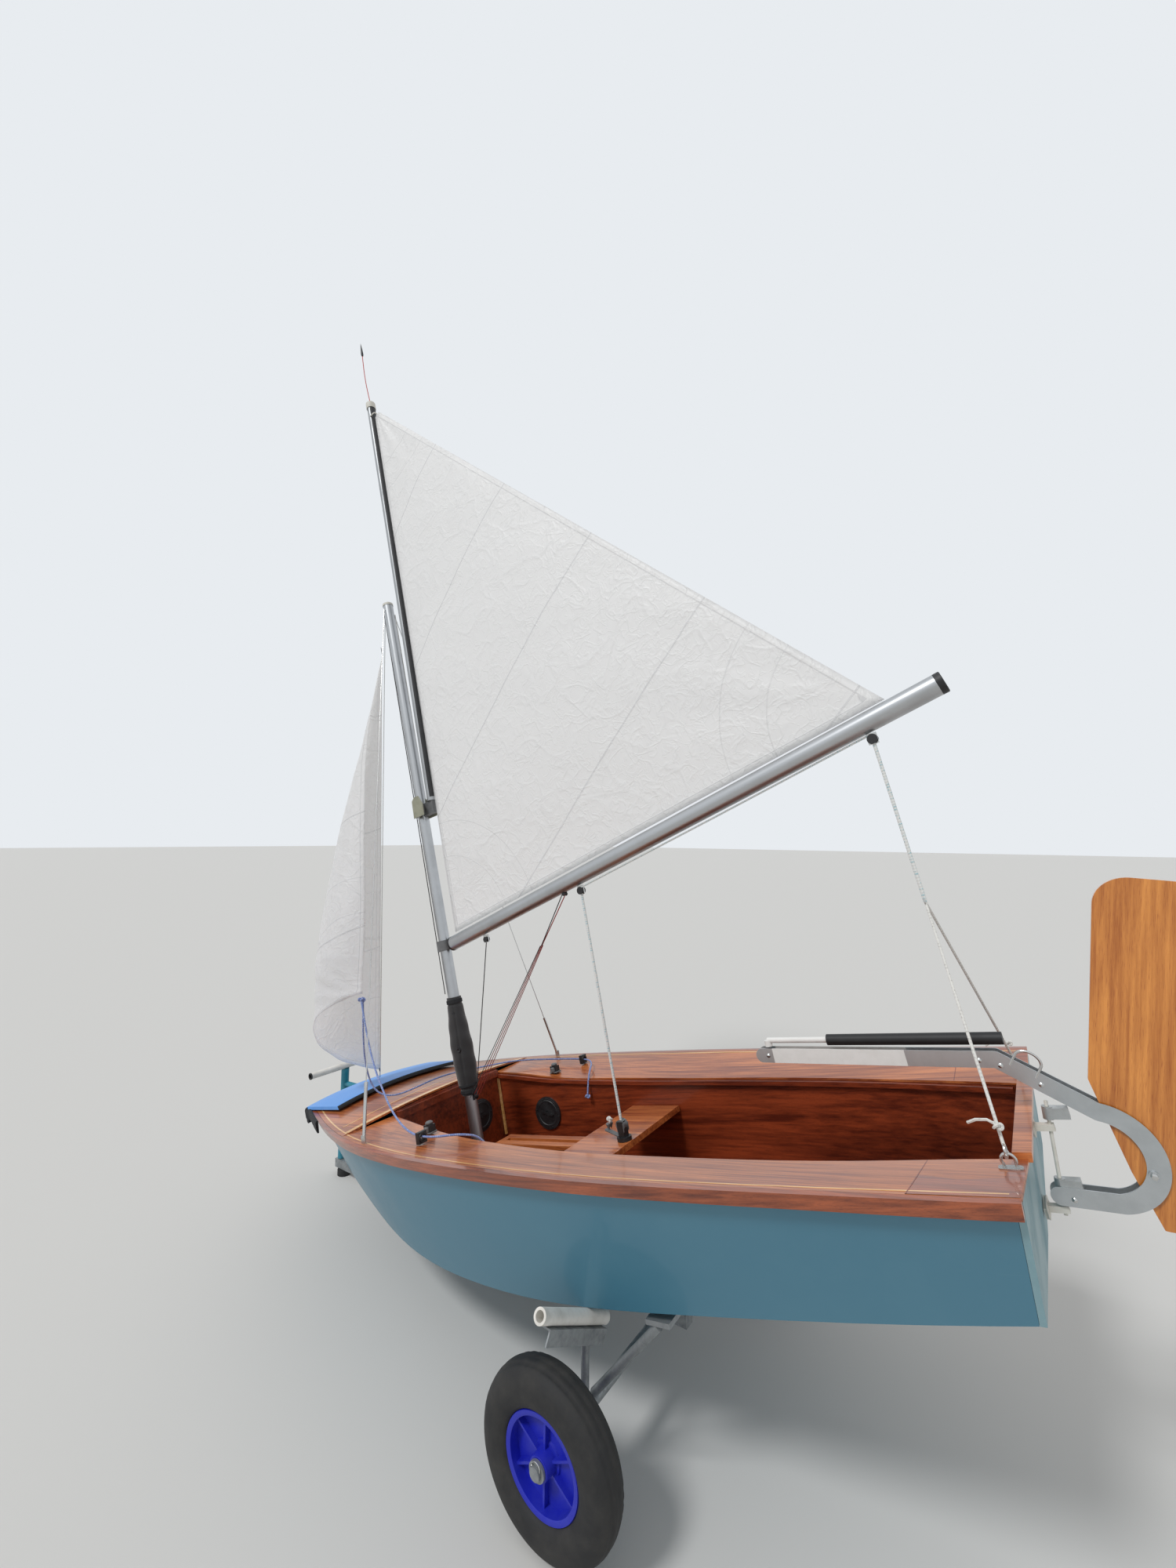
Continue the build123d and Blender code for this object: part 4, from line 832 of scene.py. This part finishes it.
makePiece("bowPadEdge", [padShape(pad, pad["edge"])], looks["bumperFoam"], boat, sharp=60)
print("stage: bow pad")


def deckPoint(x, share, lift=0.0):  # place on the side deck: share 0 at its inner edge, 1 at the gunwale
    x = np.asarray(x, float)
    yi, zi = curveAt(innerEdge, x, 1), curveAt(innerEdge, x, 2)
    yg, zg = curveAt(sections, x, 1), curveAt(sections, x, 2)
    return np.stack([x, yi + (yg - yi) * share, zi + (zg - zi) * share + lift], -1)


def ribbon(edges, thick):  # closed strip between two edge lines, lifted by its thickness
    a, b = edges
    lift = np.array([0, 0, thick])
    return patch(toRow(np.stack([a, a + lift, b + lift, b], 1)), wrapColumns=True)


def crownPoint(x, y, lift=0.0):  # place on the cambered foredeck: the crown times 1-(y/half)^2 over the gunwale
    half, z = curveAt(sections, x, 1), curveAt(sections, x, 2)
    rise = deck["crown"] * half / deck["crownHalf"] * (1 - (y / half) ** 2)
    return np.stack([x + 0 * y, y, z + rise + lift], -1)


inlay = {"from": 8, "deckEnd": 2108, "foredeck": 2112, "to": 2624, "inset": 17, "wide": 5.5, "lift": -0.4,
         "thick": 1.0, "cross": ((2112, 2134, 1, 1.2), (2200, 2206, 0.93, 1.0)), "crossHalf": 484,
         "post": (2096, 281, -84), "postSize": (9, 9, 250)}   # cross: from, to, share of the half, thickness
strips = []
for sign in (1, -1):
    x = np.linspace(inlay["from"], inlay["deckEnd"], 120)
    yi, yg = curveAt(innerEdge, x, 1), curveAt(sections, x, 1)
    edges = [deckPoint(x, 1 - (inlay["inset"] + k * inlay["wide"]) / (yg - yi), inlay["lift"]) * (1, sign, 1)
             for k in (0, 1)]
    strips.append(ribbon(edges, inlay["thick"]))
    x = np.linspace(inlay["foredeck"], inlay["to"], 40)
    yg = curveAt(sections, x, 1)
    edges = [crownPoint(x, yg - inlay["inset"] - k * inlay["wide"], inlay["lift"]) * (1, sign, 1) for k in (0, 1)]
    strips.append(ribbon(edges, inlay["thick"]))
y = np.linspace(-inlay["crossHalf"], inlay["crossHalf"], 60)
for start, end, share, thick in inlay["cross"]:
    strips.append(ribbon([crownPoint(x + 0 * y, y * share, inlay["lift"]) for x in (start, end)], thick))
for sign in (1, -1):
    strips.append(block(np.array(inlay["post"]) * (1, sign, 1), inlay["postSize"]))
makePiece("ashStrips", strips, looks["ashWood"], boat, sharp=30)

deckJoint = {"x": 176, "wide": 2.2, "sunk": -0.3, "thick": 1.3, "back": -11, "lift": 0.5, "rim": 1.0}
carlin = {"from": 30, "to": 2100, "out": 3, "in": 15, "drop": 24, "tall": 17}
share = np.linspace(0.005, 0.995, 12)
seams, endPieces, lining = [], [], []
for sign in (1, -1):
    seams.append(ribbon([deckPoint(deckJoint["x"] + k + 0 * share, share, deckJoint["sunk"]) * (1, sign, 1)
                         for k in (0, deckJoint["wide"])], deckJoint["thick"]))
    shares, x = np.meshgrid(share, np.linspace(deckJoint["back"], deckJoint["x"], 10))
    top = deckPoint(x, shares, deckJoint["lift"]) * (1, sign, 1)
    low = (0, 0, deckJoint["rim"])
    endPieces.append(patch(toRow(np.stack([np.concatenate([row[:1] - low, row, row[-1:] - low])
                                           for row in top.swapaxes(0, 1)]))))
    x = np.linspace(carlin["from"], carlin["to"], 100)
    half, height = curveAt(innerEdge, x, 1), curveAt(innerEdge, x, 2) - carlin["drop"]
    lining.append(ribbon([np.stack([x, sign * (half - carlin[key]), height], -1) for key in ("out", "in")],
                         carlin["tall"]))
makePiece("deckSeams", seams, looks["innerWood"], boat)
makePiece("deckEnds", endPieces, looks["edgeWood"], boat)
makePiece("deckCarlins", lining, looks["innerWood"], boat, bevel=0.002)
print("stage: deck trim")

hatch = {"bulkhead": (2102, -150, -86), "tank": (1845, -130), "slopeOver": (1785, 1905), "screws": 6,
         "screwRing": 0.0585, "screwOut": 0.0085, "screw": ((0, 0.1), (2.2, 0.2), (2.2, 3), (0, 4)),
         "grip": (64, 10, 4), "gripOut": 0.0082, "gripTall": 5,
         "lid": ((5, 0.1), (9.5, 8), (9.5, 14), (8, 18), (8.5, 46), (10.5, 48), (10.5, 53), (8.5, 55), (8.5, 62),
                 (6, 67), (1, 67.5))}
low, high = (curveAt(innerEdge, x, 1) for x in hatch["slopeOver"])
tankSlope = float((high - low) / (hatch["slopeOver"][1] - hatch["slopeOver"][0]))
tankX, tankZ = hatch["tank"]
tankPlace = (tankX, -float(curveAt(innerEdge, tankX, 1)), tankZ)
lids = []
for place, axis in ((hatch["bulkhead"], (-1, 0, 0)), (tankPlace, (tankSlope, 1, 0))):
    axis, a, b = ringAxes(turned(axis))
    start = toRow(place)
    lids.append(lathe(hatch["lid"], start, axis, 64))
    for turn in around(hatch["screws"]):
        out = (math.cos(turn) * a + math.sin(turn) * b) * hatch["screwRing"]
        lids.append(lathe(hatch["screw"], start + axis * hatch["screwOut"] + out, axis, 16))
    lids.append(slab(roundRect(*hatch["grip"]), start + axis * hatch["gripOut"], a, b, hatch["gripTall"]))
makePiece("hatchLids", lids, looks["blackPlastic"], boat)

fairlead = {"place": (1712, 460, 53), "ring": ((-11, 10.2), (-11, 15), (-6, 17), (6, 17), (11, 15), (11, 10.2),
                                              (6, 9), (-6, 9), (-11, 10.2))}
cam = {"x": 1800, "y": 356, "share": 0.14, "lift": 4, "base": (46, 36, 9), "baseTall": 5, "apart": 12.5,
       "jaw": ((5, 0.1), (5, 9), (8, 11), (20, 11), (23, 9), (24, 0.1)),
       "cap": ((24, 0.1), (24, 6), (30, 13), (35, 14), (39, 9), (40, 0.1))}
shackle = {"x": 14, "y": 318, "share": 0.3, "base": (44, 20, 6), "baseTall": 3, "pin": 27, "eyeWire": 0.003,
           "ringWire": 0.0028, "pinShape": ((-14, 0.1), (-14, 3.5), (14, 3.5), (14, 0.1))}
fairleads, cams, shackles = [], [], []
for sign in (1, -1):
    fairleads.append(lathe(fairlead["ring"], toRow(np.array(fairlead["place"]) * (1, sign, 1)), ahead, 32))
    camHeight = float(deckPoint(cam["x"], cam["share"])[2]) + cam["lift"]
    base = np.array([cam["x"], sign * cam["y"], camHeight])
    cams.append(plate(*cam["base"], base, cam["baseTall"]))
    for k in (-1, 1):
        cams.append(lathe(cam["jaw"], toRow(base + (0, k * cam["apart"], 0)), upward, 14))
    cams.append(lathe(cam["cap"], toRow(base), upward, 28))
    low = np.array([shackle["x"], sign * shackle["y"], float(deckPoint(shackle["x"], shackle["share"])[2])])
    bow = np.linspace(-0.6, math.pi + 0.6, 24)
    eyePath = np.stack([13 * np.cos(bow), 0 * bow, 17 + 10 * np.sin(bow) * 1.2], -1)
    ringPath = np.stack([0 * bow, 10 * np.cos(bow), 34 + 12 * np.sin(bow)], -1)
    shackles.append(plate(*shackle["base"], low + (0, 0, 1), shackle["baseTall"]))
    shackles.append(tube(toRow(low + np.concatenate([[(11, 0, 3)], eyePath, [(-11, 0, 3)]])), shackle["eyeWire"], 10))
    shackles.append(tube(toRow(low + ringPath), shackle["ringWire"], 10))
    shackles.append(lathe(shackle["pinShape"], toRow(low + (0, 0, shackle["pin"])), across, 16))
makePiece("fairleadRings", fairleads, looks["blackPlastic"], boat)
makePiece("camCleats", cams, looks["greyPlastic"], boat, bevel=0.001)
quarter = makePiece("quarterShackles", shackles, looks["stainless"], boat)
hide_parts("quarter_blocks")

jammer = {"base": np.array([1210, 0, -112]), "cheek": (30, 34, 8), "cheekAt": (15, 42), "cheekThick": 2.4,
          "wheel": ((-12, 0.1), (-12, 19), (-6, 15), (6, 15), (12, 19), (12, 0.1)), "wheelAt": (0, 0, 50),
          "arm": (60, 20, 6), "armAt": (38, 10, 30), "armDir": (0.94, 0, 0.34), "armThick": 4,
          "jaw": ((0, 0.1), (14, 7), (20, 9), (24, 5), (24, 0.1)), "jawAt": (54, 7, 34)}
jammerParts = []
for k in (-1, 1):
    place = jammer["base"] + (0, k * jammer["cheekAt"][0] - jammer["cheekThick"] / 2, jammer["cheekAt"][1])
    jammerParts.append(slab(roundRect(*jammer["cheek"]), toRow(place), ahead, upward, jammer["cheekThick"]))
jammerParts.append(lathe(jammer["wheel"], toRow(jammer["base"] + jammer["wheelAt"]), across, 32))
jammerParts.append(slab(roundRect(*jammer["arm"]), toRow(jammer["base"] + jammer["armAt"]), turned(jammer["armDir"]),
                        turned((0, -1, 0)), jammer["armThick"]))
for sign in (1, -1):
    place = jammer["base"] + np.array(jammer["jawAt"]) * (1, sign, 1)
    jammerParts.append(lathe(jammer["jaw"], toRow(place), upward, 14))
makePiece("jammerBlock", jammerParts, looks["greyPlastic"], boat, bevel=0.0008)

stock = {"bolts": ((600, 143), (52, 106), (10, 92), (-60, 46), (-47, -202)), "half": 16,
         "bolt": ((0, 5.5), (2, 5.5), (4, 3), (4.6, 0.1)), "pivot": (-207, 19, -143),
         "nut": ((0, 7), (5, 7), (6, 5), (6, 0.1))}
hoop = {"from": 30, "to": 84, "tall": 34, "arch": 20, "thick": 3.2, "sunk": 4, "start": (17, 14, 106),
        "along": np.array([-0.81, 0, -0.587]), "up": np.array([-0.587, 0, 0.81])}
bolts = []
for x, z in stock["bolts"]:
    for sign in (1, -1):
        bolts.append(lathe(stock["bolt"], toRow((x, sign * stock["half"], z)), (0, sign, 0), 18))
for sign in (1, -1):
    bolts.append(lathe(stock["nut"], toRow(np.array(stock["pivot"]) * (1, sign, 1)), (0, sign, 0), 6))
turns = np.linspace(0, math.pi, 20)[:, None]
middle, half = (hoop["from"] + hoop["to"]) / 2, (hoop["to"] - hoop["from"]) / 2
crown = hoop["along"] * (middle - half * np.cos(turns)) + hoop["up"] * (hoop["tall"] + hoop["arch"] * np.sin(turns))
feet = [hoop["along"] * hoop[key] + hoop["up"] * hoop["sunk"] for key in ("from", "to")]
arch = np.array(hoop["start"]) + np.concatenate([feet[:1], crown, feet[1:]])
bolts.append(tube(toRow(arch), hoop["thick"] / 1000, 12))
makePiece("stockBolts", bolts, looks["stainless"], "rudder")

gudgeon = {"heights": (-52, -228), "rake": -0.15, "board": 12.6, "out": 8, "pad": (74, 30, 11), "thick": -3,
           "screwOut": 10.5, "screwY": 27, "screw": ((0, 3.5), (1.5, 3.5), (2.6, 0.1))}
gudgeons = []
for z in gudgeon["heights"]:
    face = gudgeon["rake"] * z - gudgeon["board"]
    gudgeons.append(slab(roundRect(*gudgeon["pad"]), toRow((face - gudgeon["out"], 0, z)), across, upward,
                         gudgeon["thick"]))
    for k in (-1, 1):
        place = toRow((face - gudgeon["screwOut"], k * gudgeon["screwY"], z))
        gudgeons.append(lathe(gudgeon["screw"], place, turned((-1, 0, 0)), 14))
makePiece("gudgeonPads", gudgeons, looks["creamPlastic"], boat, bevel=0.001)
print("stage: fittings")


def boomAt(x, drop=0.0):  # place under the boom's centre line
    return np.array([x, 0, 676 + (1957 - x) * 386 / 2109 - drop])


def yardAt(z, aft=0.0):  # place on the yard's centre line
    return np.array([1955 + (z - mainsail["luffFrom"]) * mainsail["luffRake"] - aft, 0, z])


boomDir, yardDir = turned((-2109, 0, 386)), turned((43, 0, 2363))
boomEnd = {"after": ((-12, 31.3), (4, 31.4), (6, 29), (6, 0.1)), "afterAt": (-152, 0, 1062), "foreX": 1943,
           "fore": ((0, 31.4), (10, 31.4), (14, 26), (16, 0.1))}
plugs = [lathe(boomEnd["after"], toRow(boomEnd["afterAt"]), boomDir, 40),
         lathe(boomEnd["fore"], toRow(boomAt(boomEnd["foreX"])), -boomDir, 40)]
makePiece("boomPlugs", plugs, looks["blackPlastic"], rig)

groove = {"turns": (118, 242), "radii": (22.7, 20.5), "heights": (1362, 2100, 2900, 3690), "boomFrom": 1930,
          "boomLong": 1990, "boomHalf": 3, "boomTop": 30.6, "boomThick": 1.2}
turns = np.linspace(*(math.radians(a) for a in groove["turns"]), 16)
circle = np.stack([np.cos(turns), np.sin(turns), 0 * turns], -1)
outer, inner = [np.stack([yardAt(z)[None] + r * circle for z in groove["heights"]]) for r in groove["radii"]]
long, half = groove["boomLong"], groove["boomHalf"]
boomSlot = toRow(boomAt(groove["boomFrom"], -groove["boomTop"]))
slots = [slab([(0, -half), (long, -half), (long, half), (0, half)], boomSlot, boomDir, across, groove["boomThick"]),
         patch(toRow(np.concatenate([outer, inner[:, ::-1]], 1)), wrapColumns=True)]
makePiece("sailGrooves", slots, looks["blackPlastic"], rig)

masthead = {"cap": ((-22, 24), (-18, 26), (14, 26), (20, 20), (24, 8), (24, 0.1)), "capAt": 3700, "strapAt": 3612,
            "strapAft": 20, "strap": (22, 24, 6), "strapWire": 0.003}
t = np.linspace(0, 6.28, 40)
strap = np.stack([np.cos(t), np.sin(t), np.sin(t * 3)], -1) * masthead["strap"]
cap = [lathe(masthead["cap"], toRow(yardAt(masthead["capAt"])), yardDir, 40),
       tube(toRow(yardAt(masthead["strapAt"], masthead["strapAft"]) + strap), masthead["strapWire"], 8)]
makePiece("yardCap", cap, looks["creamPlastic"], rig)

vane = {"from": (1999, 0, 3730), "to": (2010, 0, 4090), "bend": 9, "radius": 0.0022, "tip": (2010, 0, 4088),
        "spindle": ((-14, 0.1), (-10, 5), (0, 7), (14, 7), (40, 5), (66, 2.6), (85, 0.3))}
shaft = line(vane["from"], vane["to"], 16)
shaft[:, 0] += vane["bend"] * np.sin(np.linspace(0, math.pi, 16))
makePiece("vaneShaft", [tube(toRow(shaft), vane["radius"], 10)], looks["vaneRed"], rig)
spindle = makePiece("vaneSpindle", [lathe(vane["spindle"], toRow(vane["tip"]), yardDir, 20)], looks["blackPlastic"],
                    rig)
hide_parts("wind_vane")

heel = {"cheek": ((-34, -50), (40, -50), (40, 34), (22, 50), (-8, 50), (-34, 6)), "at": (2006, 1330),
        "sides": (41, -37), "thick": -4, "out": 41, "rivets": ((-20, -34), (26, -34), (10, 30)),
        "rivet": ((0, 5), (2.4, 4), (3, 0.1))}
heelX, heelZ = heel["at"]
cheeks = [slab(heel["cheek"], toRow((heelX, y, heelZ)), ahead, upward, heel["thick"]) for y in heel["sides"]]
for sign in (1, -1):
    for dx, dz in heel["rivets"]:
        cheeks.append(lathe(heel["rivet"], toRow((heelX + dx, sign * heel["out"], heelZ + dz)), (0, sign, 0), 14))
makePiece("yardCheeks", cheeks, looks["olivePlate"], rig, bevel=0.001)

mastTop = {"at": 2462, "plug": ((-8, 26.5), (3, 26.5), (7, 22), (8, 0.1))}
mastUp = turned((math.sin(mast["lean"]), 0, math.cos(mast["lean"])))
makePiece("mastPlug", [lathe(mastTop["plug"], toRow(mastAt(mastTop["at"])), mastUp, 36)], looks["creamPlastic"], boat)


def taut(name, points, thick, look, body=boat):  # a straight-sided line in hull mm, from point to point
    dense = np.concatenate([line(a, b, 14)[:-1] for a, b in zip(points, points[1:])] + [np.asarray(points[-1])[None]])
    return makePiece(name, [tube(toRow(dense), thick / 2000, 10)], looks[look], body)


def span(low, high):  # the two ends of a line that runs from boat to rig, in the row frame
    return tuple(toRow(low)), tuple(toRow(high))


def sheave(place, size):  # grooved wheel across the boat
    profile = [(-9, 0.1), (-9, size), (-5, size - 4), (5, size - 4), (9, size), (9, 0.1)]
    return lathe(profile, toRow(place), across, 28)


running = {"apex": np.array([58, 0, 505]), "boomEye": np.array([56, 0, 976]), "midEye": boomAt(1188, 54),
           "quarter": (14, 318, 22), "stern": (14, 0, 0), "boomMid": boomAt(600, 42), "jammerTop": (0, 0, 66),
           "vangLow": np.array([1950, 0, 40]), "vangHigh": boomAt(1270, 36), "vangSplit": 0.24}
apex, boomEye, midEye = running["apex"], running["boomEye"], running["midEye"]
sternSpan = span(running["stern"], boomEye)
for side, sign in (("port", 1), ("starboard", -1)):
    taut("bridle." + side, [np.array(running["quarter"]) * (1, sign, 1), apex], 7, "plainRope", sternSpan)
taut("sternSheet", [apex, boomEye + (0, 0, -6)], 10, "whiteRope", sternSpan)
taut("centreSheet", [jammer["base"] + running["jammerTop"], midEye], 10, "whiteRope", span(jammer["base"], midEye))
taut("boomLine", [boomEye + (0, 5, 10), running["boomMid"] + (0, 5, 0), midEye + (0, 5, 10)], 6, "whiteRope", rig)
vangLow, vangHigh = running["vangLow"], running["vangHigh"]
vangMid = vangHigh + (vangLow - vangHigh) * running["vangSplit"]
for k, (dy, look) in enumerate(((-6, "redRope"), (6, "thinBlack"))):
    taut(f"vangTop{k}", [vangMid + (0, dy * 0.3, 0), vangHigh + (8 * k, dy, 0)], 4, look, span(vangLow, vangHigh))
for k, (dy, look) in enumerate(((-9, "redRope"), (-3, "redRope"), (4, "redRope"), (10, "thinBlack"))):
    taut(f"vang{k}", [vangLow + (k * 7 - 12, dy * 1.6, 0), vangMid + (k * 2 - 3, dy * 0.5, 0)], 3, look,
         span(vangLow, vangHigh))
downhaul = ((1950, -16, 60), boomAt(1735, 54))
taut("mainHalyard", [(1985, -31, 60), mastAt(2400) + (-20, -20, 0)], 4, "plainRope")
taut("jibHalyard", [(2010, 32, 470), mastAt(2420) + (20, 16, 0)], 4, "thinBlack")
taut("downhaul", downhaul, 4, "thinBlack", span(*downhaul))
strops = [tube(toRow([(2177, 0, 2215), (2183, 0, 2260), (2180, 0, 2212), (2180, 4, 2200)]), 0.0015, 8),
          tube(toRow([(2602, 0, 160), (2600, 3, 168), (2598, 4, 176)]), 0.002, 8)]
makePiece("jibLashings", strops, looks["thinBlack"], boat)
blocks = [sheave(*at) for at in ((midEye, 15), (boomEye - (0, 0, 4), 15), (boomAt(1735, 54), 12), (vangHigh, 8))]
makePiece("boomBlocks", blocks, looks["blackPlastic"], rig, bevel=0.0006)
makePiece("vangBlock", [sheave(vangLow, 14)], looks["blackPlastic"], boat, bevel=0.0006)
t = around(30)
ringPath = apex + 9 * np.stack([0 * t, np.cos(t), np.sin(t)], -1)
makePiece("bridleRing", [tube(toRow(ringPath), 0.002, 8, closed=True)], looks["stainless"], sternSpan)
tails = {"knotAt": (14, 318, 60), "knot": 0.007, "thick": 0.006, "jammerKnot": (40, 12, 70), "jammerThick": 0.007,
         "tail": ((14, 318, 62), (30, 312, 70), (52, 306, 68), (70, 300, 60))}
knots = [knotTube(toRow(np.array(tails["knotAt"]) * (1, sign, 1)), tails["knot"], (0, 0, 1), tails["thick"])
         for sign in (1, -1)]
knots += [tube(toRow(np.array(tails["tail"]) * (1, sign, 1)), tails["thick"] / 2, 8) for sign in (1, -1)]
knots.append(knotTube(toRow(jammer["base"] + tails["jammerKnot"]), tails["knot"], (0, 1, 0), tails["jammerThick"]))
makePiece("lineKnots", knots, looks["plainRope"], boat)
print("stage: running lines")

trolley = {"ring": 0.013, "ringY": 0.672, "ringDrop": 0.010, "ringWire": 0.0014, "ringStep": 0.002,
           "handle": (1.893, 0.186, 0.52), "plug": ((-0.5, 15.6), (4, 15.6), (5, 13), (5, 12), (-20, 11.9)),
           "rim": ((34, 99.6), (36, 104), (36, 112), (32, 114), (30, 111.8)),
           "hub": ((6, 40), (11, 38), (11, 30), (40, 27.4), (43, 26), (43, 17), (41, 16))}
t = np.linspace(0, 6.2, 40)
rings = [tube(np.stack([trolley["ring"] * np.cos(t), sign * trolley["ringY"] + trolley["ringStep"] * t / 6,
                        axleAt["z"] + trolley["ring"] * np.sin(t)], -1) + (0, 0, trolley["ringDrop"]),
              trolley["ringWire"], 8) for sign in (1, -1)]
makePiece("axleRings", rings, looks["stainless"], boat)
plugs = [lathe(trolley["plug"], np.array(trolley["handle"]) * (1, sign, 1), (0, sign, 0), 32) for sign in (1, -1)]
makePiece("handleEnds", plugs, looks["blackPlastic"], boat)
for side, sign in (("port", 1), ("starboard", -1)):
    centre, outward = (0, sign * axleAt["y"], axleAt["z"]), (0, sign, 0)
    rims = [lathe(np.array(trolley["rim"]) * (face, 1), centre, outward, 72) for face in (1, -1)]
    rims.append(lathe(trolley["hub"], centre, outward, 48))
    makePiece("wheelRims." + side, rims, looks["bluePlastic"], "wheel_" + side, sharp=30)
print("stage: trolley")
